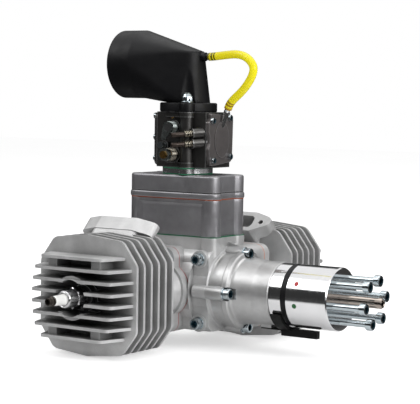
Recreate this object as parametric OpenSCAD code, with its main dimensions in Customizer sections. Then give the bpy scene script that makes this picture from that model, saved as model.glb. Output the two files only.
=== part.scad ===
// Opposed twin two-stroke engine for model and light unmanned aircraft.
// Frame: +X runs along the crank to the propeller, the near cylinder points to -Y,
// +Z is the carburettor side. The origin is the centre of the propeller hub's front face.

/* [Crank train] */
// Cylinder bore
bore_d = 47; // [44:0.5:49]
// Piston stroke
stroke = 35; // [31:0.5:36]
// Connecting rod length between centres
rod_len = 56; // [54:0.5:58]
// Distance between the two cylinder axes along the crank
stagger = 37; // [36:0.5:40]
// Diameter of the crank webs
web_d = 50; // [49.4:0.2:50.4]
// Diameter of the crank pins
crank_pin_d = 13; // [11:0.5:13.5]
// Diameter of the front and rear main journals
journal_d = 17; // [15:0.5:17.5]
// Diameter of the wrist pins
wrist_pin_d = 11; // [9:0.5:12]

/* [Crankcase] */
// Distance from the hub face back to the middle of the crankcase
case_mid = 140; // [136:1:146]
// Outer radius of the crankcase barrel
case_r = 35; // [33.5:0.5:37]
// Radius of the crank chamber
chamber_r = 25.5; // [25.4:0.1:26]
// Distance from the crank axis to each cylinder seat
seat_h = 32; // [31.5:0.25:34]
// Height of the intake seat above the crank axis
intake_seat_z = 40.6; // [39:0.2:43]
// Outer radius of the nose tube
nose_r = 24.5; // [23.5:0.25:25.5]
// Radius of the circle of housing bolts
housing_bolt_r = 28.5; // [28:0.25:29]

/* [Cylinders] */
// Width of the fin plates
plate_w = 90; // [84:1:96]
// Height of the fin plates at their ridge
plate_h = 91; // [86:1:96]
// Number of fin plates
plate_n = 6; // [4:1:6]
// Pitch of the fin plates
plate_pitch = 9; // [8:0.1:9.3]
// Thickness of a fin plate
plate_t = 2.3; // [1.6:0.1:3]
// Distance from the crank axis to the outer plate's face
deck_h = 102.6; // [100:0.5:105]
// Distance from the crank axis to the end fins' tips
tip_h = 124; // [118:1:128]
// Pitch of the end fins
fin_pitch = 8.5; // [7.8:0.1:9]
// Thickness of an end fin
fin_t = 2.2; // [1.6:0.1:3]
// Diameter of the spark plug well
well_d = 27.6; // [24:0.2:30]
// Tilt of the exhaust flange towards the middle
exhaust_tilt = 45; // [38:1:50]
// Spacing of the exhaust flange's bolt holes
exhaust_holes = 48; // [46:1:52]

/* [Intake tower] */
// Length of the tower along the crank
tower_l = 82; // [78:1:86]
// Depth of the tower across the crank
tower_w = 47; // [45:0.5:50]
// Height of the intake box
box_h = 28.3; // [24:0.1:32]
// Thickness of the reed plate
reed_plate_t = 4.4; // [3.5:0.1:6]
// Height of the intake cap
cap_h = 13; // [12:0.2:16]

/* [Carburettor] */
// Diameter of the carburettor bore
throat_d = 28; // [24:0.5:29]
// Height of the carburettor body along its bore
carb_h = 43; // [40:0.5:48]
// Thickness of the spacer under the carburettor
spacer_t = 3.6; // [3:0.2:8]
// Distance between the two carburettor studs
stud_pitch = 42.2; // [41:0.2:44]

/* [Velocity stack] */
// Diameter of the horn's mouth
mouth_d = 54; // [46:1:58]
// Distance from the carburettor bore to the mouth
mouth_reach = 61; // [54:1:70]
// Height of the horn's axis above the stack's foot
horn_rise = 37; // [34:0.5:42]
// Wall of the horn
horn_wall = 2; // [1.6:0.1:3]

/* [Propeller hub] */
// Diameter of the hub
hub_d = 48; // [46:0.5:52]
// Length of the hub
hub_l = 35; // [30:1:40]
// Diameter of the circle of propeller bolts
prop_pcd = 33; // [30:0.5:36]
// Length of the propeller bolts that stands out of the hub
prop_bolt_out = 24.6; // [16:0.2:34]
// Diameter of the centre stud
stud_d = 8; // [6:0.5:10]
// Length of the centre stud that stands out of the hub
stud_out = 34.4; // [24:0.2:44]

/* [Fits] */
// Radial clearance of a piston in its bore
piston_fit = 0.04; // [0.03:0.01:0.06]
// Radial clearance of a running pin or shaft
run_fit = 0.03; // [0.02:0.01:0.06]
// Gap left where two moving pieces pass each other
pass_gap = 0.5; // [0.3:0.1:0.8]
// Thickness of a paper gasket
gasket_t = 0.6; // [0.4:0.1:1]

/* [Hidden] */

$fn = 48;
eps = 0.01;

// Places along the crank
near_x = -case_mid - stagger / 2;
far_x = -case_mid + stagger / 2;
throw = stroke / 2;
bore_r = bore_d / 2;
web_r = web_d / 2;
pin_r = crank_pin_d / 2;
rod_w = 13;
rod_side_gap = 0.5;
web_t = 10;
front_web_x = far_x + rod_w / 2 + rod_side_gap;
rear_web_x = near_x - rod_w / 2 - rod_side_gap;
journal_r = journal_d / 2;

// Main bearings: outer radius, width, rear face
bearing_r = 20;
bearing_w = 12;
nose_bearing_r = 17.5;
nose_bearing_w = 10;
housing_x = front_web_x + web_t + 4;
front_bearing_x = housing_x + pass_gap;
nose_bearing_x = -64;
rear_bearing_x = rear_web_x - web_t - 2 - bearing_w;
case_rear_x = rear_bearing_x - 6;
collar_x = -49.3;
collar_w = 10.2;
ring_w = 4.1;
strap_gap = 0.8;
strap_t = 2.2;
sensor_x = -47.5;
sensor_front = -16.5;
sensor_h = 3.6;
sensor_y = -7;
sensor_w = 4.5;
hub_r = hub_d / 2;
nose_front_x = collar_x - pass_gap;

// Housing flange and bolts
foot_fillet = 2.4;
bolt_angles = [90, 180, 270];
boss_r = 5.3;
body_r = 29;
boss_front_x = housing_x + 14.8;
rim_t = 3;
nose_root_r = 26;
m5_r = 2.5;
m5_hole_r = 2.7;
m5_head_r = 4.25;
m5_head_h = 5;
m5_tap_r = 2.5;
washer_r = 4.9;
washer_t = 1;

// Rear mounting lugs, M6 threads
lug_y = 25;
lug_z = 25;
lug_r = 8;
lug_back = 8;
lug_l = 22;
lug_hole_r = 2.5;
lug_hole_l = 14;

// Side screws of the crankcase
side_screw_x = 31.5;
side_screw_z = 24.6;
side_face_y = 27.6;
side_block = 79;
side_block_z = 31.5;
side_screw_l = 12;
boss_l = 11.5;

// Cylinders
base_h = seat_h + gasket_t;
flange_h = 7;
barrel_r = bore_r + 4.5;
spigot_r = bore_r + 2.4;
spigot_l = 6;
spigot_fit = 0.1;
tdc_pin_h = throw + rod_len;
crown = 18;
skirt = 16;
squish = 1.2;
rod_swing = 18.2;
big_end_r = pin_r + 4;
chamber_h = tdc_pin_h + crown + squish;
seat_lobe = 26;
seat_lobe_r = 8;
duct_x = 21.3;
duct_r = 22;
plug_seat_h = deck_h + 6;
plug_r = 5;
well_r = well_d / 2;
well_wall = 2.6;
fin_half = [28, 34, 36, 37, 37, 36, 34, 28];
exhaust_h = 50;
exhaust_z = 48.8;
exhaust_back = 5;
exhaust_t = 12;
exhaust_depth = 20;
port_w = 34;
port_l = 12;
port_h = 63.5;
port_wall = 4;

// Intake tower
tower_x = -case_mid - tower_l / 2;
lobe_w = 14;
lobe_round = 5;
panel_inset = 2;
box_wall = 4.5;
box_z = intake_seat_z + gasket_t;
lower_gasket_z = box_z + box_h;
plate_z = lower_gasket_z + gasket_t;
upper_gasket_z = plate_z + reed_plate_t;
cap_z = upper_gasket_z + gasket_t;
cap_top = cap_z + cap_h;
tower_bolt_in = 6.3;
plate_proud = 0.6;

// Carburettor
carb_x = -case_mid;
spacer_z = cap_top + 1;
carb_gasket_z = spacer_z + spacer_t;
carb_z = carb_gasket_z + 1;
carb_top = carb_z + carb_h;
throat_r = throat_d / 2;
stud_angle = -58.6;
stud_r = 2.5;
stud_column_r = 5.2;
stud_at = [stud_pitch / 2 * cos(stud_angle), stud_pitch / 2 * sin(stud_angle)];
carb_back = 18;
carb_front = 28;
carb_half_y = 17;
throttle_z = carb_z + 10;
choke_z = carb_z + 31;
shaft_r = 3;
plate_disc_t = 1.2;
disc_fit = 0.3;
throttle_y = -34.4;
choke_y = -28.5;
lever_y = 24;
lever_t = 2;
lever_hole = [-16, 10];
needle_turn = 37;
needle_dip = 5;
needle_r = 1.5;
needle_root = [20.3, -19.5];
high_needle_z = carb_z + 26.9;
low_needle_z = carb_z + 19.2;
needle_l = 20;
needle_in = 6;
idle_x = -8;
idle_z = carb_z + 17;

// Velocity stack
stack_z = carb_top;
foot_t = 7.2;
horn_z = stack_z + horn_rise;
elbow_r = 17;
elbow_top_r = 12;
elbow_h = 47;
mouth_len = 20;
mouth_r = mouth_d / 2;
barb_z = horn_z + 6;
barb_x = carb_x + 12.5;

// Vent tube: free route between its two barbs, radius of tube and of its bore
tube_r = 3.2;
tube_bore = 2.3;
tube_route = [[-121, 0, 179.7], [-115.5, -0.5, 180], [-108.5, -1.5, 180.6], [-101, -3, 181.2],
    [-93, -4.5, 181.4], [-85.5, -6, 180], [-79.5, -7, 176.6], [-76, -7.5, 171.8],
    [-76.5, -7.5, 166.4], [-80, -6.5, 161], [-85, -5, 155.8], [-90.5, -3.5, 151.4],
    [-96, -2, 147.6], [-100.8, -0.5, 143.6], [-103.4, 0.5, 139.8]];

// Propeller hub
hub_bore_r = 7.5;
prop_bolt_turn = 19.4;
prop_bolt_in = 16;

function unit(v) = v / norm(v);

// Points of a fillet of radius r at corner p1, between the edges to p0 and p2
function corner(p0, p1, p2, r, n) = r == 0 ? [p1] : let(
    a = unit(p0 - p1), b = unit(p2 - p1), half = acos(a * b) / 2,
    c = p1 + unit(a + b) * r / sin(half), s = p1 + a * r / tan(half), e = p1 + b * r / tan(half),
    a0 = atan2(s.y - c.y, s.x - c.x), turn = atan2(e.y - c.y, e.x - c.x) - a0,
    sweep = turn > 180 ? turn - 360 : turn < -180 ? turn + 360 : turn)
    [for (i = [0:n]) c + r * [cos(a0 + sweep * i / n), sin(a0 + sweep * i / n)]];

// A closed outline with each corner rounded by its own radius
function rounded(pts, radii, n = 4) = let(m = len(pts))
    [for (i = [0:m - 1]) each corner(pts[(i + m - 1) % m], pts[i], pts[(i + 1) % m], radii[i], n)];

function mirrored(pts) = concat(pts, [for (i = [len(pts) - 1:-1:0]) [-pts[i].x, pts[i].y]]);

// A cylinder along X, and one along Y
module x_cyl(x0, x1, r, y = 0, z = 0) {
    translate([x0, y, z]) rotate([0, 90, 0]) cylinder(h = x1 - x0, r = r);
}

module y_cyl(y0, y1, r, x = 0, z = 0) {
    translate([x, y0, z]) rotate([-90, 0, 0]) cylinder(h = y1 - y0, r = r);
}

// An outline drawn in X and Z, carried outwards from the crank axis to -Y
module outward(h0, h1) {
    rotate([90, 0, 0]) translate([0, 0, h0]) linear_extrude(h1 - h0) children();
}

// An outline drawn in Y and Z, carried along X
module along_x(x0, x1) {
    translate([x0, 0, 0]) rotate([90, 0, 90]) linear_extrude(x1 - x0) children();
}

// A profile drawn as radius and place, turned about the X axis
module turned_x(x0 = 0) {
    translate([x0, 0, 0]) rotate([0, 90, 0]) rotate_extrude() children();
}

// Near cylinder's place, and the far one's, which is the same turned half round
module at_near() {
    translate([near_x, 0, 0]) children();
}

module at_far() {
    translate([far_x, 0, 0]) rotate([0, 0, 180]) children();
}

module on_bolt_circle(angles, r) {
    for (a = angles) translate([0, r * cos(a), r * sin(a)]) children();
}

// Cap screw along +Z: its head's underside at z 0, its shank below
module cap_screw(len, r = m5_r, head_r = m5_head_r, head_h = m5_head_h) {
    difference() {
        union() {
            translate([0, 0, -len]) cylinder(h = len + eps, r = r, $fn = 24);
            cylinder(h = head_h, r = head_r, $fn = 32);
        }
        translate([0, 0, head_h - 2.6]) cylinder(h = 3, r = head_r * 0.55, $fn = 6);
    }
}

module washer(r_in = m5_hole_r, r_out = washer_r, t = washer_t) {
    difference() {
        cylinder(h = t, r = r_out, $fn = 32);
        translate([0, 0, -1]) cylinder(h = t + 2, r = r_in, $fn = 24);
    }
}

// Cylinder base, seen along the cylinder: bolt lobes and the bulges of the transfer ducts
module base_outline() {
    for (sx = [-1, 1], sz = [-1, 1]) translate([sx * seat_lobe, sz * (seat_lobe - 1)])
        circle(r = seat_lobe_r, $fn = 40);
    square([2 * seat_lobe, 2 * (seat_lobe + seat_lobe_r - 1)], center = true);
    square([2 * (seat_lobe + seat_lobe_r), 2 * (seat_lobe - 1)], center = true);
    for (sx = [-1, 1]) translate([sx * duct_x, 0]) circle(r = duct_r, $fn = 56);
}

module base_bolts_2d(r) {
    for (sx = [-1, 1], sz = [-1, 1]) translate([sx * seat_lobe, sz * (seat_lobe - 1)])
        circle(r = r, $fn = 24);
}

// Fin plate: a shallow gable above and below, and cut corners
plate_outline = let(w = plate_w / 2, t = plate_h / 2)
    rounded(mirrored([[0.01, t], [0.71 * w, t - 3.2], [w, 0.55 * t], [w, -0.55 * t],
        [0.71 * w, -t + 3.2], [0.01, -t]]), [0, 8, 7, 7, 8, 0, 0, 8, 7, 7, 8, 0], 4);

module end_fin(k) {
    z = (3.5 - k) * fin_pitch;
    w = fin_half[k] * plate_w / 90;
    root = min(w + 7, plate_w / 2 - 2.4);
    translate([0, 0, z - fin_t / 2]) linear_extrude(fin_t) polygon(rounded([[-root, -deck_h + 1],
        [-w, -tip_h], [w, -tip_h], [root, -deck_h + 1]], [0, 4, 4, 0], 4));
}

// Exhaust frame: +Z leaves the port, origin at the middle of the flange face, side 1 for the near
// cylinder and -1 for the far one, because both flanges are set back from the propeller
module at_exhaust(side) {
    translate([-side * exhaust_back, -exhaust_h, exhaust_z]) rotate([-exhaust_tilt, 0, 0])
        mirror([side < 0 ? 1 : 0, 0, 0]) children();
}

exhaust_outline = let(w = exhaust_holes / 2 + 8.8, c = port_w / 2, t = port_l / 2 + port_wall)
    rounded([[-w, -6], [-c, -t], [c, -t], [w, -5], [w, 1.5], [c + 2, t - 1.5], [-w, t - 1.5]],
        [5, 8, 8, 5, 5, 8, 5], 4);

module rounded_slot(w, l, r) {
    square([w - 2 * r, l], center = true);
    square([w, l - 2 * r], center = true);
    for (sx = [-1, 1], sy = [-1, 1]) translate([sx * (w / 2 - r), sy * (l / 2 - r)])
        circle(r = r, $fn = 32);
}

module cylinder_casting(side) {
    difference() {
        union() {
            outward(base_h, base_h + flange_h) base_outline();
            outward(seat_h - spigot_l, base_h + eps) circle(r = spigot_r);
            outward(base_h, deck_h) circle(r = barrel_r);
            // Transfer ducts up both sides of the barrel, and the bolt columns beside them
            for (sx = [-1, 1]) translate([sx * duct_x, 0, 0]) rotate([90, 0, 0])
                translate([0, 0, base_h]) cylinder(h = 30, r1 = duct_r, r2 = 13);
            for (k = [0:plate_n - 1]) {
                outward(deck_h - k * plate_pitch - plate_t, deck_h - k * plate_pitch)
                    polygon(plate_outline);
            }
            outward(deck_h - plate_t - 1, deck_h) circle(r = 36);
            for (k = [0:7]) end_fin(k);
            // Webs between the two outer fins on each side
            for (sx = [-1, 1], sz = [-1, 1])
                translate([sx * 20 - 4, -tip_h + 5, sz * 3 * fin_pitch - fin_pitch / 2])
                    cube([8, tip_h - deck_h - 5 + eps, fin_pitch]);
            // Boss under the plug and the arches round its well
            y_cyl(-plug_seat_h, -deck_h + 1, 11);
            intersection() {
                y_cyl(-tip_h + 2, -deck_h + 1, well_r + well_wall);
                union() {
                    for (sz = [-1, 1]) translate([-20, -tip_h, sz * 14.4 - 3.6])
                        cube([40, tip_h - deck_h + 2, 7.2]);
                }
            }
            // Exhaust flange and its duct, which bends down to the port in the bore
            at_exhaust(side) {
                translate([0, 0, -exhaust_depth]) linear_extrude(exhaust_depth)
                    rounded_slot(port_w + 2 * port_wall, port_l + 2 * port_wall - 1, 5);
                translate([0, 0, -exhaust_t]) linear_extrude(exhaust_t) polygon(exhaust_outline);
            }
            translate([-side * exhaust_back, -port_h, 0]) linear_extrude(38)
                rounded_slot(port_w + 2 * port_wall, port_l + 2 * port_wall, 5);
        }
        // Bore, domed chamber and plug thread
        rotate([90, 0, 0]) rotate_extrude() polygon(concat([[0, seat_h - spigot_l - 1],
            [bore_r, seat_h - spigot_l - 1], [bore_r, chamber_h], [bore_r - 5, chamber_h]],
            [for (i = [0:5]) [(bore_r - 6) * cos(18 * i), chamber_h + 7 * sin(18 * i)]]));
        y_cyl(-plug_seat_h - 1, -chamber_h, plug_r);
        difference() {
            y_cyl(-tip_h - 5, -deck_h - 1.6, well_r);
            y_cyl(-plug_seat_h, -deck_h, 9);
        }
        at_exhaust(side) {
            translate([0, 0, -15]) linear_extrude(16) rounded_slot(port_w, port_l, 4);
            for (sx = [-1, 1]) translate([sx * exhaust_holes / 2, 0, -exhaust_t - 1])
                cylinder(h = exhaust_t + 2, r = 2.1, $fn = 32);
        }
        translate([-side * exhaust_back / 2, -port_h, 12]) linear_extrude(28)
            rounded_slot(port_w - 5, port_l, 4);
        // Bolt holes, and the rod's slots in the spigot
        outward(base_h - 1, base_h + flange_h + 1) base_bolts_2d(m5_hole_r);
        outward(base_h + flange_h, base_h + flange_h + 9) base_bolts_2d(m5_head_r + 0.8);
        translate([-rod_w / 2 - 1, -seat_h + 0.1, -spigot_r - 1])
            cube([rod_w + 2, spigot_l + 1, 2 * spigot_r + 2]);
        // Transfer ports open from the crankcase mouth into the bore
        for (sx = [-1, 1]) translate([sx * (bore_r + 4), 0, 0]) rotate([90, 0, 0])
            translate([0, 0, base_h - 1]) cylinder(h = 26, r = 5.5, $fn = 32);
        for (sx = [-1, 1]) translate([sx * (bore_r + 1) - 7, -base_h - 28, -5.5])
            cube([14, 8, 11]);
    }
}

module near_cylinder() {
    color([0.72, 0.72, 0.72]) at_near() cylinder_casting(1);
}

module far_cylinder() {
    color([0.72, 0.72, 0.72]) at_far() cylinder_casting(-1);
}

module base_gasket() {
    difference() {
        outward(seat_h, base_h) base_outline();
        outward(seat_h - 1, base_h + 1) {
            circle(r = spigot_r + spigot_fit);
            base_bolts_2d(m5_hole_r);
            for (sx = [-1, 1]) translate([sx * (bore_r + 4), 0]) circle(r = 5.5, $fn = 32);
        }
    }
}

module base_gaskets() {
    color([0.7, 0.1, 0.1]) {
        at_near() base_gasket();
        at_far() base_gasket();
    }
}

module base_bolt_set() {
    for (sx = [-1, 1], sz = [-1, 1]) translate([sx * seat_lobe, -base_h - flange_h,
        sz * (seat_lobe - 1)]) rotate([90, 0, 0]) cap_screw(20, m5_tap_r);
}

module cylinder_bolts() {
    color([0.75, 0.78, 0.82]) {
        at_near() base_bolt_set();
        at_far() base_bolt_set();
    }
}

// Box of the tower seen from above: corner columns and faces set back between them
module tower_outline(inset_x, inset_y) {
    l = tower_l / 2;
    w = tower_w / 2;
    r = lobe_round;
    square([2 * (l - inset_x), 2 * (w - r)], center = true);
    square([2 * (l - r), 2 * (w - inset_y)], center = true);
    for (sx = [-1, 1], sy = [-1, 1]) translate([sx * (l - lobe_w / 2), sy * (w - lobe_w / 2)]) {
        square([lobe_w - 2 * r, lobe_w], center = true);
        square([lobe_w, lobe_w - 2 * r], center = true);
        for (cx = [-1, 1], cy = [-1, 1])
            translate([cx * (lobe_w / 2 - r), cy * (lobe_w / 2 - r)]) circle(r = r, $fn = 40);
    }
}

module tower_bolts_2d(r) {
    for (sx = [-1, 1], sy = [-1, 1]) translate([sx * (tower_l / 2 - tower_bolt_in),
        sy * (tower_w / 2 - tower_bolt_in)]) circle(r = r, $fn = 32);
}

module tower_slab(z0, z1, inset_x = panel_inset, inset_y = 0) {
    translate([-case_mid, 0, z0]) linear_extrude(z1 - z0) tower_outline(inset_x, inset_y);
}

module case_body() {
    x_cyl(case_rear_x, front_web_x, case_r);
    x_cyl(front_web_x - eps, housing_x, body_r + 1);
    tower_slab(0, intake_seat_z, panel_inset, panel_inset);
    // Seats for the cylinders
    at_near() outward(6, seat_h) base_outline();
    at_far() outward(6, seat_h) base_outline();
    // Flat sides that take the side screws
    along_x(-case_mid - side_block / 2, housing_x) rounded_slot(2 * side_face_y, 2 * side_block_z, 9);
    for (s = [-1, 1], sz = [-1, 1])
        translate([-case_mid + s * side_screw_x, 0, sz * side_screw_z]) rotate([s * 90, 0, 0])
            cylinder(h = side_face_y + 1, r = 6.8);
    // Bolt bosses of the front housing, and the gusset over the top one
    on_bolt_circle(bolt_angles, housing_bolt_r) x_cyl(housing_x - boss_l, housing_x, boss_r);
    translate([0, 3, 0]) rotate([90, 0, 0]) linear_extrude(3) polygon([[housing_x - 8, 26],
        [housing_x, 26], [housing_x, 36.5], [housing_x - 8, 40.6]]);
    // Rear mounting lugs
    for (sy = [-1, 1], sz = [-1, 1])
        x_cyl(case_rear_x - lug_back, case_rear_x - lug_back + lug_l, lug_r, sy * lug_y, sz * lug_z);
}

// Room that one rod sweeps: its big end at both ends of the stroke and of its swing
module rod_room_2d() {
    r = big_end_r + pass_gap;
    z = rod_len * sin(rod_swing);
    lo = tdc_pin_h - stroke - rod_len * cos(rod_swing);
    hi = tdc_pin_h - rod_len * cos(rod_swing);
    for (sz = [-1, 1]) {
        translate([lo, sz * z]) circle(r = r);
        translate([hi, sz * z]) circle(r = r);
    }
    translate([lo, -z - r]) square([hi - lo, 2 * (z + r)]);
    translate([lo - r, -z]) square([hi - lo + 2 * r, 2 * z]);
    circle(r = throw + r);
}

module rod_room() {
    rotate([0, 0, 180]) along_x(-rod_w / 2 - pass_gap, rod_w / 2 + pass_gap) rod_room_2d();
}

module crankcase() {
    color([0.72, 0.72, 0.71]) difference() {
        case_body();
        // Crank chamber, rod rooms, bearing pocket and housing spigot
        x_cyl(rear_web_x - web_t - pass_gap, housing_x + 1, chamber_r);
        at_near() rod_room();
        at_far() rod_room();
        x_cyl(rear_bearing_x, rear_bearing_x + bearing_w + 8, bearing_r);
        x_cyl(rear_bearing_x - 3, rear_bearing_x + 1, bearing_r - 4);
        // Room for the front housing on the far side
        x_cyl(housing_x, housing_x + 60, body_r + 4);
        // Flat seats and cylinder mouths
        at_near() case_mouth();
        at_far() case_mouth();
        // Inlet from the tower
        translate([-case_mid - 25, -14, 18]) cube([50, 28, 30]);
        translate([-case_mid, 0, intake_seat_z - 14]) linear_extrude(20) tower_bolts_2d(m5_tap_r);
        on_bolt_circle(bolt_angles, housing_bolt_r) x_cyl(housing_x - 12, housing_x + 1, m5_tap_r);
        for (s = [-1, 1], sz = [-1, 1])
            translate([-case_mid + s * side_screw_x, 0, sz * side_screw_z]) rotate([s * 90, 0, 0])
                translate([0, 0, side_face_y + 1.8 - side_screw_l])
                    cylinder(h = 20, r = m5_tap_r, $fn = 24);
        for (sy = [-1, 1], sz = [-1, 1])
            x_cyl(case_rear_x - lug_back - 1, case_rear_x - lug_back + lug_hole_l, lug_hole_r,
                sy * lug_y, sz * lug_z);
    }
}

module case_mouth() {
    seat_cut = duct_x + duct_r + pass_gap;
    translate([-seat_cut, -seat_h - 20, -seat_lobe - seat_lobe_r])
        cube([2 * seat_cut, 20, 2 * (seat_lobe + seat_lobe_r)]);
    outward(0, seat_h + 1) circle(r = spigot_r + spigot_fit);
    outward(seat_h - 14, seat_h + 1) base_bolts_2d(m5_tap_r);
    for (sx = [-1, 1]) translate([sx * (bore_r + 4), 0, 0]) outward(10, seat_h + 1)
        circle(r = 5.5, $fn = 32);
}

// Front housing: body with a rim and four bolt bosses, then the long nose over two bearings
module front_housing() {
    color([0.73, 0.72, 0.71]) difference() {
        union() {
            x_cyl(housing_x - 4, housing_x + eps, chamber_r - 0.1);
            turned_x(housing_x) polygon([[0, 0], [body_r + foot_fillet, 0],
                [body_r + 0.7, foot_fillet * 0.3], [body_r, foot_fillet],
                [body_r, boss_front_x - housing_x - rim_t],
                [body_r + 0.9, boss_front_x - housing_x - rim_t + 1.2],
                [body_r + 0.9, boss_front_x - housing_x + rim_t - 1],
                [body_r, boss_front_x - housing_x + rim_t],
                [nose_root_r + 0.8, boss_front_x - housing_x + rim_t + 0.8],
                [nose_root_r, boss_front_x - housing_x + rim_t + 2.4],
                [nose_r, 36], [nose_r, nose_front_x - housing_x - 0.6],
                [nose_r - 0.6, nose_front_x - housing_x], [0, nose_front_x - housing_x]]);
            on_bolt_circle(bolt_angles, housing_bolt_r) x_cyl(housing_x, boss_front_x, boss_r);
            // Ribs on the nose in front of the near and far bolts, and the gusset's front half
            for (sy = [-1, 1]) translate([boss_front_x + rim_t, sy * (nose_root_r - 3) + 1.2, 0])
                rotate([90, 0, 0]) linear_extrude(2.4)
                    polygon([[0, -1], [19, -0.3], [19, 0.3], [0, 1]]);
            translate([0, 3, 0]) rotate([90, 0, 0]) linear_extrude(3) polygon([[housing_x, 26],
                [boss_front_x - 1, 26], [boss_front_x - 1, 33.2], [housing_x, 36.5]]);
            // Foot for the sensor bracket
            translate([-66, -6, -nose_r - 1.5]) cube([9, 12, 6]);
        }
        // Crank chamber side, two bearing seats, seal seat and shaft bore
        x_cyl(housing_x - 6, housing_x, chamber_r - 3);
        x_cyl(housing_x - 1, front_bearing_x + bearing_w, bearing_r);
        x_cyl(housing_x, nose_bearing_x, bearing_r - 3.5);
        x_cyl(nose_bearing_x - 1, nose_bearing_x + nose_bearing_w, nose_bearing_r);
        x_cyl(nose_bearing_x, nose_front_x + 1, nose_bearing_r - 2.5);
        on_bolt_circle(bolt_angles, housing_bolt_r) {
            x_cyl(housing_x - 7, boss_front_x + 1, m5_hole_r);
            x_cyl(boss_front_x, boss_front_x + 9, washer_r + 0.3);
        }
        translate([-61.5, 0, -nose_r - 3]) cylinder(h = 6, r = 1.25, $fn = 24);
        // Room for the far cylinder's spigot and its piston's skirt
        at_far() outward(bearing_r + pass_gap, seat_h + 1) circle(r = spigot_r + pass_gap);
    }
}

module housing_bolts() {
    color([0.75, 0.79, 0.84]) on_bolt_circle(bolt_angles, housing_bolt_r)
        translate([boss_front_x, 0, 0]) rotate([0, 90, 0]) {
            washer();
            translate([0, 0, washer_t]) cap_screw(boss_front_x - housing_x + 12);
        }
}

module case_screws() {
    color([0.72, 0.78, 0.84]) for (s = [-1, 1], sz = [-1, 1])
        translate([-case_mid + s * side_screw_x, 0, sz * side_screw_z]) rotate([s * 90, 0, 0])
            translate([0, 0, side_face_y + 1]) {
                washer();
                translate([0, 0, washer_t]) cap_screw(side_screw_l);
            }
}

// Ball bearing: outer race with its balls, or inner race
module outer_race(r_out, r_in, w) {
    pitch = (r_out + r_in) / 2;
    ball = (r_out - r_in) * 0.3;
    difference() {
        x_cyl(0, w, r_out);
        x_cyl(-1, w + 1, r_out - (r_out - r_in) * 0.27);
        translate([w / 2, 0, 0]) rotate([0, 90, 0]) rotate_extrude() translate([pitch, 0])
            circle(r = ball + 0.03, $fn = 24);
    }
    for (a = [0:40:359]) rotate([a, 0, 0]) translate([w / 2, 0, pitch]) sphere(r = ball, $fn = 16);
}

module inner_race(r_out, r_in, w) {
    pitch = (r_out + r_in) / 2;
    ball = (r_out - r_in) * 0.3;
    difference() {
        x_cyl(0, w, r_in + (r_out - r_in) * 0.27);
        x_cyl(-1, w + 1, r_in);
        translate([w / 2, 0, 0]) rotate([0, 90, 0]) rotate_extrude() translate([pitch, 0])
            circle(r = ball + 0.05, $fn = 24);
    }
}

module main_bearings() {
    color([0.8, 0.8, 0.82]) {
        translate([front_bearing_x, 0, 0]) outer_race(bearing_r, journal_r, bearing_w);
        translate([nose_bearing_x, 0, 0]) outer_race(nose_bearing_r, journal_r, nose_bearing_w);
        translate([rear_bearing_x, 0, 0]) outer_race(bearing_r, journal_r, bearing_w);
    }
}

module inner_races() {
    color([0.82, 0.82, 0.84]) {
        translate([front_bearing_x, 0, 0]) inner_race(bearing_r, journal_r, bearing_w);
        translate([nose_bearing_x, 0, 0]) inner_race(nose_bearing_r, journal_r, nose_bearing_w);
        translate([rear_bearing_x, 0, 0]) inner_race(bearing_r, journal_r, bearing_w);
    }
}

module crank_seal() {
    color([0.12, 0.1, 0.1]) difference() {
        x_cyl(nose_bearing_x + nose_bearing_w, nose_front_x - 0.2, nose_bearing_r - 2.5);
        x_cyl(nose_bearing_x, nose_front_x + 1, journal_r + 0.05);
    }
}

// Crank web with its pin towards -Y: a disc cut back on both sides of the pin
module web(x0, w) {
    difference() {
        x_cyl(x0, x0 + w, web_r);
        for (s = [-1, 1]) translate([x0 - 1, -web_r - 5, s > 0 ? 12 : -web_r - 12])
            cube([w + 2, web_r, web_r]);
    }
}

// At rest both pistons stand at the top of their strokes, so the near pin is at -Y
module crankshaft_front() {
    color([0.6, 0.6, 0.62]) difference() {
        union() {
            mirror([0, 1, 0]) web(front_web_x, web_t);
            x_cyl(front_web_x + web_t - eps, front_web_x + web_t + 2, journal_r + 3);
            x_cyl(front_web_x + web_t, collar_x + collar_w, journal_r);
            x_cyl(collar_x, -8, hub_bore_r);
        }
        x_cyl(-22, -7, stud_d / 2 - 0.4);
    }
}

module center_web() {
    x0 = near_x + rod_w / 2 + rod_side_gap;
    x1 = far_x - rod_w / 2 - rod_side_gap;
    t = 7;
    color([0.6, 0.6, 0.62]) {
        x_cyl(x0, x0 + t, web_r);
        x_cyl(x1 - t, x1, web_r);
        x_cyl(x0 + t - eps, x1 - t + eps, web_r - 8);
    }
}

module crankshaft_rear() {
    color([0.6, 0.6, 0.62]) {
        web(rear_web_x - web_t, web_t);
        x_cyl(rear_web_x - web_t - 2, rear_web_x - web_t + eps, journal_r + 3);
        x_cyl(rear_bearing_x - 2, rear_web_x - web_t, journal_r);
    }
}

module timing_collar() {
    color([0.85, 0.85, 0.86]) difference() {
        x_cyl(collar_x, collar_x + collar_w, hub_r);
        x_cyl(collar_x - 1, collar_x + collar_w + 1, hub_bore_r + 1);
        rotate([-25, 0, 0]) translate([collar_x + 6, 0, hub_r - 8]) cylinder(h = 9, r = 1.7);
    }
}

module hub_ring() {
    color([0.08, 0.08, 0.08]) difference() {
        x_cyl(collar_x + collar_w, -hub_l, hub_r - 0.8);
        x_cyl(-hub_l - 10, -hub_l + 1, hub_bore_r);
    }
}

module prop_hub() {
    color([0.88, 0.88, 0.9]) difference() {
        turned_x() polygon([[0, -hub_l], [hub_r - 0.5, -hub_l], [hub_r, -hub_l + 0.5],
            [hub_r, -0.8], [hub_r - 0.8, 0], [0, 0]]);
        x_cyl(-hub_l - 1, -8, hub_bore_r);
        x_cyl(-9, 1, stud_d / 2 - 0.4);
        prop_bolt_places() x_cyl(-prop_bolt_in, 1, m5_r);
    }
}

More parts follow.
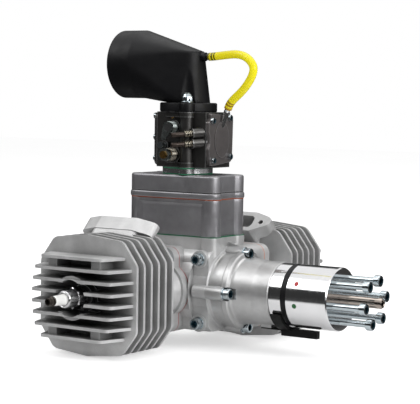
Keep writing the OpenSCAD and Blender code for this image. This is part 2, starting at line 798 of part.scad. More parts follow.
module prop_bolt_places() {
    for (k = [0:5]) rotate([k * 60 - prop_bolt_turn, 0, 0]) translate([0, 0, prop_pcd / 2])
        children();
}

module prop_bolts() {
    color([0.72, 0.8, 0.84]) prop_bolt_places() translate([prop_bolt_out, 0, 0])
        rotate([0, 90, 0]) cap_screw(prop_bolt_out + prop_bolt_in - 1);
}

module prop_stud() {
    color([0.5, 0.44, 0.38]) difference() {
        union() {
            x_cyl(-20, 0, stud_d / 2 - 0.4);
            x_cyl(0, stud_out, stud_d / 2);
        }
        x_cyl(stud_out - 12, stud_out + 1, 2.1);
    }
}

// Piston in its cylinder's place, at the top of its stroke
module piston_body() {
    r = bore_r - piston_fit;
    pin = tdc_pin_h;
    bdc_drop = stroke;
    difference() {
        outward(pin - skirt, pin + crown) circle(r = r, $fn = 72);
        // Hollow under the crown, kept solid at the pin bosses
        difference() {
            outward(pin - skirt - 1, pin + crown - 5) circle(r = r - 2.6);
            for (sx = [-1, 1]) translate([sx > 0 ? rod_w / 2 + 0.6 : -r, -pin - 8, -8])
                cube([r - rod_w / 2 - 0.6, 16, 16]);
        }
        translate([0, -pin, 0]) x_cyl(-r - 1, r + 1, wrist_pin_d / 2);
        // Ring grooves
        for (h = [crown - 4, crown - 8]) rotate([90, 0, 0]) translate([0, 0, pin + h])
            rotate_extrude($fn = 72) translate([r - 2, 0]) square([3, 1.3]);
        // Skirt cut back for the webs at the bottom of the stroke
        translate([0, -bdc_drop, 0]) for (s = [-1, 1])
            x_cyl(s > 0 ? rod_w / 2 : -r - 1, s > 0 ? r + 1 : -rod_w / 2, web_r + 2 * pass_gap);
    }
}

module piston_rings() {
    for (h = [crown - 4, crown - 8]) rotate([90, 0, 0]) translate([0, 0, tdc_pin_h + h + 0.05])
        difference() {
            cylinder(h = 1.2, r = bore_r - 0.03, $fn = 72);
            translate([0, 0, -1]) cylinder(h = 4, r = bore_r - 2, $fn = 72);
        }
}

module wrist_pin() {
    translate([0, -tdc_pin_h, 0]) difference() {
        x_cyl(-bore_r + 2.5, bore_r - 2.5, wrist_pin_d / 2 - 0.01);
        x_cyl(-bore_r, bore_r, wrist_pin_d / 2 - 2.5);
    }
}

// Connecting rod: two eyes and a waisted shank with a groove on each face
module conrod() {
    small_r = wrist_pin_d / 2 + 2.8;
    color([0.55, 0.55, 0.57]) difference() {
        union() {
            x_cyl(-rod_w / 2, rod_w / 2, big_end_r, -throw);
            x_cyl(-rod_w / 2 + 0.5, rod_w / 2 - 0.5, small_r, -tdc_pin_h);
            along_x(-3.5, 3.5) polygon([[-throw - 6, -8], [-tdc_pin_h + 4, -5.5],
                [-tdc_pin_h + 4, 5.5], [-throw - 6, 8]]);
        }
        x_cyl(-rod_w, rod_w, pin_r + run_fit, -throw);
        x_cyl(-rod_w, rod_w, wrist_pin_d / 2 + run_fit, -tdc_pin_h);
        for (s = [-1, 1]) along_x(s > 0 ? 2 : -4, s > 0 ? 4 : -2)
            polygon([[-throw - big_end_r - 2, -4.2], [-tdc_pin_h + small_r + 2, -2.6],
                [-tdc_pin_h + small_r + 2, 2.6], [-throw - big_end_r - 2, 4.2]]);
    }
}

// The pins' ends stop short of the webs
module crankpin() {
    color([0.7, 0.7, 0.72]) difference() {
        x_cyl(-rod_w / 2 - 0.2, rod_w / 2 + 0.2, pin_r, -throw);
        x_cyl(-rod_w, rod_w, 2.5, -throw);
    }
}

module near_piston() { color([0.78, 0.78, 0.79]) at_near() piston_body(); }
module near_rings() { color([0.5, 0.5, 0.5]) at_near() piston_rings(); }
module near_wrist_pin() { color([0.75, 0.75, 0.77]) at_near() wrist_pin(); }
module near_conrod() { at_near() conrod(); }
module near_crankpin() { at_near() crankpin(); }
module far_piston() { color([0.78, 0.78, 0.79]) at_far() piston_body(); }
module far_rings() { color([0.5, 0.5, 0.5]) at_far() piston_rings(); }
module far_wrist_pin() { color([0.75, 0.75, 0.77]) at_far() wrist_pin(); }
module far_conrod() { at_far() conrod(); }
module far_crankpin() { at_far() crankpin(); }

module both_sides() {
    at_near() children();
    at_far() children();
}

// Spark plug: threaded shell with its hexagon, insulator and terminal nut
module plug_shells() {
    color([0.7, 0.72, 0.74]) both_sides() rotate([90, 0, 0]) difference() {
        union() {
            translate([0, 0, chamber_h + 6]) cylinder(h = plug_seat_h - chamber_h - 5, r = plug_r);
            translate([0, 0, plug_seat_h]) cylinder(h = 2, r = 6.8);
            translate([0, 0, plug_seat_h + 2]) cylinder(h = 7.5, r = 8.08, $fn = 6);
            translate([0, 0, plug_seat_h + 9]) cylinder(h = 7, r = 6.9);
        }
        translate([0, 0, plug_seat_h + 6]) cylinder(h = 20, r = 4.35);
        translate([0, 0, chamber_h + 5]) cylinder(h = 6, r = 3.2);
    }
}

module plug_insulators() {
    color([0.93, 0.93, 0.91]) both_sides() rotate([90, 0, 0]) {
        translate([0, 0, plug_seat_h + 6]) cylinder(h = 10 + eps, r = 4.3);
        translate([0, 0, plug_seat_h + 16]) cylinder(h = 11, r = 4.5);
        translate([0, 0, plug_seat_h + 27 - eps]) cylinder(h = 7.5, r1 = 4.5, r2 = 3.7);
    }
}

module plug_terminals() {
    color([0.15, 0.14, 0.12]) both_sides() rotate([90, 0, 0]) difference() {
        union() {
            translate([0, 0, plug_seat_h + 34.5]) cylinder(h = 6, r = 2.8);
            translate([0, 0, plug_seat_h + 34.5]) cylinder(h = 2, r = 3.3);
        }
        translate([0, 0, plug_seat_h + 38]) cylinder(h = 5, r = 1.6);
    }
}

// Intake tower
module intake_box() {
    color([0.47, 0.47, 0.48]) difference() {
        union() {
            tower_slab(box_z, lower_gasket_z, panel_inset, panel_inset);
            tower_slab(box_z, box_z + 4, 0.6, 0.6);
            tower_slab(lower_gasket_z - 4, lower_gasket_z, 0.6, 0.6);
        }
        translate([-case_mid - tower_l / 2 + lobe_w, -tower_w / 2 + panel_inset + box_wall, box_z - 1])
            cube([tower_l - 2 * lobe_w, tower_w - 2 * panel_inset - 2 * box_wall, box_h + 2]);
        translate([-case_mid, 0, box_z - 1]) linear_extrude(box_h + 2) tower_bolts_2d(m5_hole_r);
    }
}

reed_window = [22, 24];
module reed_plate() {
    color([0.33, 0.33, 0.34]) difference() {
        tower_slab(plate_z, upper_gasket_z, 0, -plate_proud);
        for (s = [-1, 1]) translate([-case_mid + s * 13 - reed_window.x / 2, -reed_window.y / 2,
            plate_z - 1]) cube([reed_window.x, reed_window.y, reed_plate_t + 2]);
        translate([-case_mid, 0, plate_z - 1]) linear_extrude(9) tower_bolts_2d(m5_hole_r);
    }
}

// Reed cage: a wedge with a window in each slope
module reed_cage() {
    h = 20;
    difference() {
        rotate([90, 0, 0]) translate([0, 0, -13]) linear_extrude(26)
            polygon([[-12, 0], [12, 0], [1.5, -h], [-1.5, -h]]);
        rotate([90, 0, 0]) translate([0, 0, -11]) linear_extrude(22)
            polygon([[-9.5, 1], [9.5, 1], [0, -h + 3.5]]);
        for (s = [-1, 1], y = [-5.5, 5.5]) translate([s * 7, y, -9]) rotate([0, s * 27.7, 0])
            cube([12, 9, 11], center = true);
    }
}

module reed_cages() {
    color([0.16, 0.16, 0.17]) for (s = [-1, 1])
        translate([-case_mid + s * 13, 0, lower_gasket_z]) reed_cage();
}

module reed_petals() {
    tilt = atan(10.5 / 20);
    color([0.2, 0.2, 0.18]) for (s = [-1, 1], t = [-1, 1])
        translate([-case_mid + s * 13 + t * 12, 0, lower_gasket_z]) rotate([0, t * tilt, 0])
            translate([t > 0 ? 0 : -0.4, -11, -21]) cube([0.4, 22, 19.5]);
}

module intake_cap() {
    color([0.46, 0.46, 0.47]) difference() {
        tower_slab(cap_z, cap_top);
        // Plenum over the reeds, carburettor bore, bolts and studs
        translate([-case_mid - 25, -13, cap_z - 1]) cube([50, 26, 7]);
        translate([carb_x, 0, cap_z]) cylinder(h = cap_h + 1, r = throat_r);
        translate([-case_mid, 0, cap_z - 1]) linear_extrude(cap_h + 2) tower_bolts_2d(m5_hole_r);
        translate([-case_mid, 0, cap_top - 5.6]) linear_extrude(7) tower_bolts_2d(m5_head_r + 0.5);
        carb_stud_places() translate([0, 0, cap_top - 6.5]) cylinder(h = 8, r = stud_r);
    }
}

module reed_plate_gaskets() {
    color([0.45, 0.28, 0.14]) for (z = [lower_gasket_z, upper_gasket_z]) difference() {
        tower_slab(z, z + gasket_t, panel_inset - 0.4, -0.2);
        translate([-case_mid - 26, -14, z - 1]) cube([52, 28, gasket_t + 2]);
        translate([-case_mid, 0, z - 1]) linear_extrude(gasket_t + 2) tower_bolts_2d(m5_hole_r);
    }
}

module tower_bolts() {
    color([0.72, 0.76, 0.8]) for (sx = [-1, 1], sy = [-1, 1])
        translate([-case_mid + sx * (tower_l / 2 - tower_bolt_in),
            sy * (tower_w / 2 - tower_bolt_in), cap_top - 5.4])
            cap_screw(cap_top - 5.4 - intake_seat_z + 12);
}

// Flange shared by the gaskets, the spacer and the stack's foot
module carb_flange(r = 19.8) {
    circle(r = r, $fn = 64);
    for (s = [-1, 1]) {
        translate(s * stud_at) circle(r = 6, $fn = 40);
        rotate(stud_angle) translate([s * stud_pitch / 4, 0])
            square([stud_pitch / 2, 12], center = true);
    }
}

module carb_stud_places() {
    for (s = [-1, 1]) translate([carb_x + s * stud_at.x, s * stud_at.y, 0]) children();
}

module carb_layer(z, t) {
    difference() {
        translate([carb_x, 0, z]) linear_extrude(t) carb_flange();
        translate([carb_x, 0, z - 1]) cylinder(h = t + 2, r = throat_r);
        carb_stud_places() translate([0, 0, z - 1]) cylinder(h = t + 2, r = stud_r + 0.2);
    }
}

module paper_gaskets() {
    color([0.1, 0.4, 0.25]) {
        carb_layer(cap_top, 1);
        carb_layer(carb_gasket_z, 1);
        difference() {
            tower_slab(intake_seat_z, box_z, panel_inset - 0.4, panel_inset - 0.4);
            translate([-case_mid - 27, -14, intake_seat_z - 1]) cube([54, 28, 3]);
            translate([-case_mid, 0, intake_seat_z - 1]) linear_extrude(4)
                tower_bolts_2d(m5_hole_r);
        }
    }
}

module carb_spacer() {
    color([0.8, 0.8, 0.82]) carb_layer(spacer_z, spacer_t);
}

// Frame of a mixture needle: +Z leaves the body
module at_needle(z) {
    translate([carb_x + needle_root.x, needle_root.y, z]) rotate([0, 0, -needle_turn])
        rotate([90 + needle_dip, 0, 0]) children();
}

module carb_body() {
    color([0.3, 0.3, 0.31]) difference() {
        union() {
            translate([carb_x - carb_back, -carb_half_y, carb_z])
                cube([carb_back + carb_front, 2 * carb_half_y, carb_h]);
            translate([carb_x, 0, carb_z]) linear_extrude(4) carb_flange();
            translate([carb_x, 0, carb_top - 4]) linear_extrude(4) carb_flange();
            carb_stud_places() translate([0, 0, carb_z]) cylinder(h = carb_h, r = stud_column_r);
            // Bosses of the throttle and choke shafts
            for (s = [-1, 1]) {
                y_cyl(s > 0 ? 0 : -20.5, s > 0 ? 20.5 : 0, 6.5, carb_x, throttle_z);
                y_cyl(s > 0 ? 0 : -19.5, s > 0 ? 19.5 : 0, 5.5, carb_x, choke_z);
            }
            // Block that carries the mixture needles
            for (z = [high_needle_z, low_needle_z]) at_needle(z) translate([0, 0, -8])
                cylinder(h = 11, r = 4);
            y_cyl(-carb_half_y - 4, -carb_half_y + 1, 3.4, carb_x + idle_x, idle_z);
        }
        // Flat side that takes the pump cover
        translate([carb_x - carb_back - 10, -30, carb_z - 1]) cube([10, 60, carb_h + 2]);
        translate([carb_x, 0, carb_z - 1]) cylinder(h = carb_h + 2, r = throat_r);
        carb_stud_places() translate([0, 0, carb_z - 1]) cylinder(h = carb_h + 2, r = stud_r + 0.2);
        y_cyl(-30, 30, shaft_r + run_fit, carb_x, throttle_z);
        y_cyl(-30, 30, shaft_r + run_fit, carb_x, choke_z);
        for (z = [high_needle_z, low_needle_z]) at_needle(z) translate([0, 0, -needle_in - 3])
            cylinder(h = 30, r = needle_r + run_fit);
        y_cyl(-30, -carb_half_y + 3, 1.5 + run_fit, carb_x + idle_x, idle_z);
    }
}

module pump_cover() {
    x1 = carb_x - carb_back;
    color([0.3, 0.3, 0.31]) along_x(x1 - 2.4, x1) polygon(rounded([[-carb_half_y, carb_z + 1],
        [carb_half_y, carb_z + 1], [carb_half_y, carb_top - 1], [-carb_half_y, carb_top - 1]],
        [4, 4, 4, 4], 4));
}

module metering_cover() {
    x0 = carb_x + carb_front;
    w = carb_half_y;
    z0 = carb_z + 1.5;
    z1 = carb_top - 0.8;
    zm = (z0 + z1) / 2;
    color([0.33, 0.33, 0.34]) {
        along_x(x0, x0 + 3) polygon(rounded([[-w + 3, z0], [w - 1, z0 + 3], [w, z1 - 2],
            [-w + 3, z1], [-w + 3, z1 - 4], [-w, z1 - 7], [-w, zm + 6], [-w + 1.5, zm + 3],
            [-w + 1.5, zm - 3], [-w, zm - 8]], [2, 4, 3, 1, 0.8, 1, 1, 1, 1, 5], 3));
        along_x(x0 + 3 - eps, x0 + 3.6) translate([0.6, zm]) scale([0.72, 1]) circle(r = 14);
    }
}

module carb_studs() {
    color([0.75, 0.79, 0.83]) carb_stud_places() {
        translate([0, 0, cap_top - 6]) cylinder(h = carb_top - cap_top + foot_t + 13.5, r = stud_r - 0.05);
        translate([0, 0, carb_top + foot_t]) difference() {
            union() {
                cylinder(h = 1, r = 4.9);
                translate([0, 0, 1]) cylinder(h = 5, r = 4.6, $fn = 6);
            }
            translate([0, 0, -1]) cylinder(h = 9, r = stud_r - 0.05);
        }
    }
}

// Horn: a round mouth drawn down to the carburettor bore through an elbow
module horn(mouth, foot, top, reach, z0, high) {
    hull() {
        translate([carb_x - reach, 0, horn_z]) rotate([0, 90, 0])
            cylinder(h = mouth_len + reach - mouth_reach, r = mouth, $fn = 56);
        translate([carb_x, 0, z0]) cylinder(h = high, r1 = foot, r2 = top, $fn = 40);
    }
}

module velocity_stack() {
    color([0.07, 0.07, 0.08]) difference() {
        union() {
            translate([carb_x, 0, stack_z]) linear_extrude(foot_t) carb_flange(22.5);
            horn(mouth_r, elbow_r, elbow_top_r, mouth_reach, stack_z + foot_t - eps,
                elbow_h - foot_t);
            // Barb for the vent tube
            x_cyl(barb_x - 4, barb_x + 4, 3.4, 0, barb_z);
            for (k = [0:2]) translate([barb_x + 3.5 + 2.3 * k, 0, barb_z]) rotate([0, 90, 0])
                cylinder(h = 2.3, r1 = tube_bore + 0.05, r2 = tube_bore - 0.5, $fn = 32);
        }
        horn(mouth_r - horn_wall, elbow_r - 3, elbow_top_r - 3, mouth_reach + 1, stack_z - 1,
            elbow_h - 3);
        // Channels that clear the two nuts
        carb_stud_places() translate([0, 0, stack_z + foot_t]) cylinder(h = 34, r = 7.4);
        carb_stud_places() translate([0, 0, stack_z - 1]) cylinder(h = 10, r = stud_r + 0.2);
    }
}

// Sweep of a round section along route points, each ring turned to the route's direction
function ring_frame(p, q) = let(t = unit(q - p), u = unit(cross(t, [0, 1, 0.01])), v = cross(t, u))
    [u, v];
function ring(route, i, r, sides) = let(
    n = len(route) - 1, f = ring_frame(route[max(i - 1, 0)], route[min(i + 1, n)]))
    [for (k = [0:sides - 1]) route[i] + r * (cos(360 * k / sides) * f[0]
        + sin(360 * k / sides) * f[1])];

// One closed tube: outer rings, then inner rings back
module swept_tube(route, r_out, r_in, sides = 12) {
    n = len(route);
    pts = [for (i = [0:n - 1]) each ring(route, i, r_out, sides),
           for (i = [0:n - 1]) each ring(route, i, r_in, sides)];
    m = n * sides;
    wall = [for (i = [0:n - 2], k = [0:sides - 1]) let(a = i * sides, b = a + sides,
        j = (k + 1) % sides) [a + k, b + k, b + j, a + j]];
    inner = [for (i = [0:n - 2], k = [0:sides - 1]) let(a = m + i * sides, b = a + sides,
        j = (k + 1) % sides) [a + j, b + j, b + k, a + k]];
    first = [for (k = [0:sides - 1]) let(j = (k + 1) % sides) [j, m + j, m + k, k]];
    last = [for (k = [0:sides - 1]) let(e = (n - 1) * sides, j = (k + 1) % sides)
        [e + k, m + e + k, m + e + j, e + j]];
    polyhedron(points = pts, faces = concat(wall, inner, first, last), convexity = 6);
}

module vent_tube() {
    color([0.95, 0.85, 0.1]) swept_tube(tube_route, tube_r, tube_bore);
}

// Angled nipple in the metering cover, with a barb for the tube
module carb_nipple() {
    foot = [carb_x + carb_front + 3.6, 1, carb_top - 9.5];
    tip = tube_route[len(tube_route) - 1];
    dir = unit(tip - tube_route[len(tube_route) - 2]);
    bend = tip + dir * 3;
    color([0.75, 0.76, 0.78]) {
        hull() {
            translate(foot) rotate([0, 90, 0]) cylinder(h = 0.4, r = 2.2, $fn = 20);
            translate(bend) sphere(r = 2.2, $fn = 20);
        }
        hull() {
            translate(bend) sphere(r = 2.2, $fn = 20);
            translate(tip - dir * 5) sphere(r = 1.7, $fn = 20);
        }
        translate(tip - dir * 3) sphere(r = tube_bore + 0.1, $fn = 20);
    }
}

// Springs under the needles, on the choke shaft and on the throttle shaft
module carb_springs() {
    color([0.66, 0.6, 0.48]) {
        for (z = [high_needle_z, low_needle_z]) at_needle(z) translate([0, 0, 3.1]) difference() {
            for (k = [0:3]) translate([0, 0, k * 1.5]) cylinder(h = 1.51, r1 = 2.7, r2 = 2.4);
            translate([0, 0, -1]) cylinder(h = 10, r = needle_r + 0.3);
        }
        difference() {
            for (k = [0:4]) y_cyl(-20.5 - 1.4 * k - 1.41, -20.5 - 1.4 * k, 5.4 - 0.3 * (k % 2), carb_x,
                throttle_z);
            y_cyl(-40, 0, shaft_r + 0.4, carb_x, throttle_z);
        }
        difference() {
            for (k = [0:4]) y_cyl(-19.5 - 1.5 * k - 1.51, -19.5 - 1.5 * k, 4.8 - 0.3 * (k % 2), carb_x,
                choke_z);
            y_cyl(-40, 0, shaft_r + 0.4, carb_x, choke_z);
        }
    }
}

module needle(z) {
    at_needle(z) {
        translate([0, 0, -needle_in + 2]) cylinder(h = needle_in + needle_l - 2, r = needle_r);
        translate([0, 0, -needle_in - 2]) cylinder(h = 4, r1 = 0.3, r2 = needle_r);
        translate([0, 0, 9.4]) cylinder(h = needle_l - 9.4, r = needle_r + 0.4);
    }
}

module high_needle() { color([0.35, 0.3, 0.22]) needle(high_needle_z); }
module low_needle() { color([0.35, 0.3, 0.22]) needle(low_needle_z); }

module idle_screw() {
    color([0.7, 0.7, 0.68]) {
        y_cyl(-carb_half_y - 9, -carb_half_y + 2, 1.5, carb_x + idle_x, idle_z);
        y_cyl(-carb_half_y - 10, -carb_half_y - 7.5, 2.6, carb_x + idle_x, idle_z);
    }
}

module throttle_shaft() {
    color([0.7, 0.55, 0.3]) difference() {
        y_cyl(throttle_y, lever_y + 4, shaft_r, carb_x, throttle_z);
        translate([carb_x - 5, -throat_r, throttle_z - plate_disc_t / 2])
            cube([10, 2 * throat_r, plate_disc_t]);
    }
}

module throttle_plate() {
    color([0.72, 0.6, 0.35]) translate([carb_x, 0, throttle_z - plate_disc_t / 2])
        cylinder(h = plate_disc_t, r = throat_r - disc_fit);
}

module throttle_lever() {
    color([0.7, 0.7, 0.68]) {
        difference() {
            y_cyl(-33.4, -29.4, 4.8, carb_x, throttle_z);
            y_cyl(-40, -20, shaft_r, carb_x, throttle_z);
        }
        difference() {
            hull() {
                y_cyl(lever_y, lever_y + lever_t, 6, carb_x, throttle_z);
                y_cyl(lever_y, lever_y + lever_t, 3, carb_x + lever_hole.x, throttle_z + lever_hole.y);
            }
            y_cyl(lever_y - 1, lever_y + 4, shaft_r, carb_x, throttle_z);
            y_cyl(lever_y - 1, lever_y + 4, 1.05, carb_x + lever_hole.x, throttle_z + lever_hole.y);
        }
    }
}

module choke_shaft() {
    color([0.65, 0.65, 0.66]) difference() {
        y_cyl(choke_y, 22.5, shaft_r, carb_x, choke_z);
        translate([carb_x - plate_disc_t / 2, -throat_r, choke_z - 5])
            cube([plate_disc_t, 2 * throat_r, 10]);
    }
}

module choke_plate() {
    color([0.72, 0.6, 0.35]) translate([carb_x - plate_disc_t / 2, 0, choke_z]) rotate([0, 90, 0])
        cylinder(h = plate_disc_t, r = min(throat_r - disc_fit, carb_top - choke_z - 1.2));
}

module choke_lever() {
    color([0.7, 0.7, 0.68]) difference() {
        hull() {
            y_cyl(-28.5, -27.2, 4.4, carb_x, choke_z);
            y_cyl(-28.5, -27.2, 2.2, carb_x - 4, choke_z - 8);
        }
        y_cyl(-30, -20, shaft_r, carb_x, choke_z);
    }
}

// Sensor bracket: a strap round the lower side of the collar and an arm back to the nose
module sensor_bracket() {
    r = hub_r + strap_gap;
    x0 = collar_x + 1.4;
    color([0.06, 0.06, 0.06]) difference() {
        union() {
            intersection() {
                x_cyl(x0, x0 + collar_w - 1.2, r + strap_t);
                union() {
                    translate([x0 - 1, -40, -60]) cube([20, 46, 47.5]);
                    translate([x0 - 1, -12, -60]) cube([20, 18, 60]);
                }
            }
            translate([-66, -6, -r - strap_t]) cube([x0 + 67, 12, r + strap_t - nose_r - 1.5]);
            // Pad over the sensor
            translate([x0, sensor_y, -r - strap_t]) cube([collar_w - 1.2, sensor_w, strap_t]);
        }
        x_cyl(x0 - 1, x0 + collar_w, r);
        translate([-61.5, 0, -nose_r - 5]) cylinder(h = 6, r = 1.5, $fn = 24);
    }
}

// Sensor body under the hub, on the strap
module hall_sensor() {
    z = -hub_r - strap_gap - strap_t;
    front = collar_x + collar_w + 0.2;
    color([0.05, 0.05, 0.05]) {
        translate([sensor_x, sensor_y, z - sensor_h])
            cube([sensor_front - sensor_x, sensor_w, sensor_h]);
        translate([front, sensor_y, z - eps]) cube([sensor_front - front, sensor_w, strap_t]);
    }
}

crankcase();
front_housing();
housing_bolts();
case_screws();
main_bearings();
crank_seal();
near_cylinder();
far_cylinder();
base_gaskets();
cylinder_bolts();
plug_shells();
plug_insulators();
plug_terminals();
paper_gaskets();
intake_box();
reed_plate();
reed_cages();
reed_petals();
intake_cap();
reed_plate_gaskets();
tower_bolts();
carb_spacer();
carb_body();
pump_cover();
metering_cover();
carb_studs();
velocity_stack();
carb_nipple();
vent_tube();
carb_springs();
sensor_bracket();
hall_sensor();
throttle_shaft();
throttle_plate();
throttle_lever();
choke_shaft();
choke_plate();
choke_lever();
high_needle();
low_needle();
idle_screw();
crankshaft_front();
center_web();
crankshaft_rear();
inner_races();
timing_collar();
hub_ring();
prop_hub();
prop_bolts();
prop_stud();
near_piston();
near_rings();
near_wrist_pin();
near_conrod();
near_crankpin();
far_piston();
far_rings();
far_wrist_pin();
far_conrod();
far_crankpin();
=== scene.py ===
"""Finishes, small parts and studio for the opposed twin two-stroke engine."""
import math

import bpy
import numpy as np
from mathutils import Matrix, Vector


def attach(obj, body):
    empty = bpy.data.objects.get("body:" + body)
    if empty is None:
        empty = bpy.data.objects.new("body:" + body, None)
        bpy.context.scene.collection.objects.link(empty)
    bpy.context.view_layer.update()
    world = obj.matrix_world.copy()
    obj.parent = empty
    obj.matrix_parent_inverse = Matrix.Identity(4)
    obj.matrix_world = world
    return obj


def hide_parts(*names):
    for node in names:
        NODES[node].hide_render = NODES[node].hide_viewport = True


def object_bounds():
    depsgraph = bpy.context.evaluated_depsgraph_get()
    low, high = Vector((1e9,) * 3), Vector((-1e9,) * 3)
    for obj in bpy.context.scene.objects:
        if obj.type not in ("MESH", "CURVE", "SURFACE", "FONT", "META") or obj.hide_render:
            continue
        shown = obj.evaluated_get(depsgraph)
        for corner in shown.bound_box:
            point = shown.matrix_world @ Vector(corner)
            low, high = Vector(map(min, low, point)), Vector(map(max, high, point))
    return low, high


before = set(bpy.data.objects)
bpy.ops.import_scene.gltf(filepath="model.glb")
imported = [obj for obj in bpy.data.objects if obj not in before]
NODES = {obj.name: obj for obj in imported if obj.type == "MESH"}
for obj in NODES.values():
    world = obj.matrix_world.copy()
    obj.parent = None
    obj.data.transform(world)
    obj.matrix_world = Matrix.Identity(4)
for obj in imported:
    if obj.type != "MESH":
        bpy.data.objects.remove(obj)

bl_info = {
    "name": "Opposed twin engine finishes",
    "version": (1, 1, 0),
    "blender": (4, 5, 0),
    "location": "View3D > Sidebar > Engine",
    "description": "Finishes, small parts and studio for the opposed twin two-stroke engine",
    "category": "Object",
}

CAD_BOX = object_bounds()
MM = 0.001
TAU = 2 * math.pi

# Places in millimetres, as in the CAD
NEAR_X, FAR_X = -158.5, -121.5
CARB_X = -140.0
THROTTLE_Z, CHOKE_Z = 103.7, 124.7
NEEDLE_ROOT = (CARB_X + 20.3, -19.5)
NEEDLES = {"high": 120.6, "low": 112.9}
PLUG_SEAT = 108.6
HUB_R = 24.0
HUB_FACE_X, HOUSING_FACE_X = 24.6, -85.7
STUD_AT = (10.9933, -18.0099)
FOOT_TOP = 143.9
MOUTH_X, MOUTH_Z = -201.0, 173.7
BARB_AT = (-127.5, 0, 179.7)
TUBE_R, TUBE_BORE_R = 3.15, 2.35
TOWER_X, TOWER_Y, COLUMN_R = 41.0, 23.5, 7.6

WHITE = (1, 1, 1, 1)
# Near-black colour the head runs to round each plug's well
PLUG_RING_DARK = (0.012, 0.012, 0.013)
# Pale colour of cast edges: partly wear, partly a painted highlight
EDGE_WEAR_AND_HIGHLIGHT = (0.93, 0.94, 0.95)
NODE_STEP = 200


class StudioSettings(bpy.types.PropertyGroup):
    """The camera and the soft studio round the engine"""
    camera_place: bpy.props.FloatVectorProperty(
        name="Camera place", description="Where the camera stands", subtype="XYZ", unit="LENGTH",
        default=(0.54251, -0.99937, 0.15107))
    azimuth: bpy.props.FloatProperty(
        name="Azimuth", description="Turn of the view about the vertical", subtype="ANGLE",
        default=math.radians(33.48))
    elevation: bpy.props.FloatProperty(
        name="Elevation", description="How far the view looks down", subtype="ANGLE",
        default=math.radians(4.03))
    roll: bpy.props.FloatProperty(
        name="Roll", description="Turn of the camera about its own axis", subtype="ANGLE",
        default=math.radians(0.87))
    lens: bpy.props.FloatProperty(
        name="Lens", description="Focal length on a 36 mm wide sensor, in millimetres", default=131.7)
    left: bpy.props.FloatProperty(
        name="Left light", description="Power of the soft light on the left", default=7.0)
    right: bpy.props.FloatProperty(
        name="Right light", description="Power of the large soft light on the right", default=15.5)
    top: bpy.props.FloatProperty(
        name="Top light", description="Power of the overhead light", default=6.5)
    world: bpy.props.FloatProperty(
        name="World", description="Strength of the even light from all sides", default=0.5)


class FinishSettings(bpy.types.PropertyGroup):
    """Colours of the engine's finishes"""
    cast: bpy.props.FloatVectorProperty(
        name="Cast metal", description="Sand-cast crankcase and cylinders", subtype="COLOR",
        default=(0.60, 0.60, 0.60))
    tower: bpy.props.FloatVectorProperty(
        name="Intake tower", description="Blasted grey metal of the intake tower", subtype="COLOR",
        default=(0.31, 0.305, 0.32))
    carb: bpy.props.FloatVectorProperty(
        name="Carburettor", description="Die-cast carburettor body", subtype="COLOR",
        default=(0.085, 0.083, 0.08))
    zinc: bpy.props.FloatVectorProperty(
        name="Zinc screws", description="Bluish zinc plating", subtype="COLOR",
        default=(0.52, 0.58, 0.61))
    horn: bpy.props.FloatVectorProperty(
        name="Horn", description="Black moulded plastic of the velocity stack", subtype="COLOR",
        default=(0.004, 0.004, 0.005))
    tube: bpy.props.FloatVectorProperty(
        name="Vent tube", description="Clear yellow tube", subtype="COLOR",
        default=(1.0, 0.86, 0.02))


def feed(tree, made, **values):
    """Sets a node's inputs and properties by name; a value that is a socket is linked."""
    for key, value in values.items():
        socket = key.replace("_", " ")
        if socket not in made.inputs:
            setattr(made, key, value)
        elif isinstance(value, bpy.types.NodeSocket):
            tree.links.new(value, made.inputs[socket])
        else:
            made.inputs[socket].default_value = value


def node(tree, kind, **values):
    """A node of that kind, to the right of the last, fed with the values."""
    made = tree.nodes.new(kind)
    made.location.x = NODE_STEP * len(tree.nodes)
    feed(tree, made, **values)
    return made


def new_material(name, **shader):
    """A material whose shader's own sockets hold every even value. Returns material, tree, shader."""
    made = bpy.data.materials.new(name)
    made.use_nodes = True
    bsdf = made.node_tree.nodes["Principled BSDF"]
    feed(made.node_tree, bsdf, **shader)
    return made, made.node_tree, bsdf


def ramp(tree, source, *stops):
    """A colour ramp fed by source, between two stops of (place, grey or colour)."""
    made = node(tree, "ShaderNodeValToRGB", Fac=source)
    for element, (place, colour) in zip(made.color_ramp.elements, stops):
        element.position = place
        grey = isinstance(colour, (int, float))
        element.color = (colour, colour, colour, 1) if grey else (*colour, 1)
    return made.outputs["Color"]


def grain(tree, scale, detail=3.0, roughness=0.55, stretch=None):
    """Noise in object coordinates, stretched along an axis if asked. Returns its value socket."""
    source = node(tree, "ShaderNodeTexCoord").outputs["Object"]
    if stretch:
        source = node(tree, "ShaderNodeMapping", Scale=stretch, Vector=source).outputs["Vector"]
    return node(tree, "ShaderNodeTexNoise", Scale=scale, Detail=detail, Roughness=roughness,
                Vector=source).outputs["Fac"]


def smooth_step(tree, source, low, high):
    """0 below low, 1 above high and smooth between; a low above high turns it round."""
    first, last = (0.0, 1.0) if low < high else (1.0, 0.0)
    return node(tree, "ShaderNodeMapRange", interpolation_type="SMOOTHSTEP", Value=source,
                From_Min=min(low, high), From_Max=max(low, high), To_Min=first,
                To_Max=last).outputs["Result"]


def math_node(tree, operation, *values):
    """A Math node on sockets or numbers."""
    made = node(tree, "ShaderNodeMath", operation=operation)
    for socket, value in zip(made.inputs, values):
        if isinstance(value, bpy.types.NodeSocket):
            tree.links.new(value, socket)
        else:
            socket.default_value = value
    return made.outputs["Value"]


def product(tree, *factors):
    """Product of sockets and numbers."""
    made = factors[0]
    for factor in factors[1:]:
        made = math_node(tree, "MULTIPLY", made, factor)
    return made


def mixed(tree, share, first, last):
    """Colour that runs from first to last by share; each end is a socket or a colour."""
    first, last = ((*end, 1) if isinstance(end, tuple) else end for end in (first, last))
    return node(tree, "ShaderNodeMix", data_type="RGBA", Factor=share, A=first,
                B=last).outputs["Result"]


def mix_shader(tree, share, first, last):
    """Shader node that runs from one shader node to the other by share."""
    made = node(tree, "ShaderNodeMixShader", Fac=share)
    tree.links.new(first.outputs[0], made.inputs[1])
    tree.links.new(last.outputs[0], made.inputs[2])
    return made


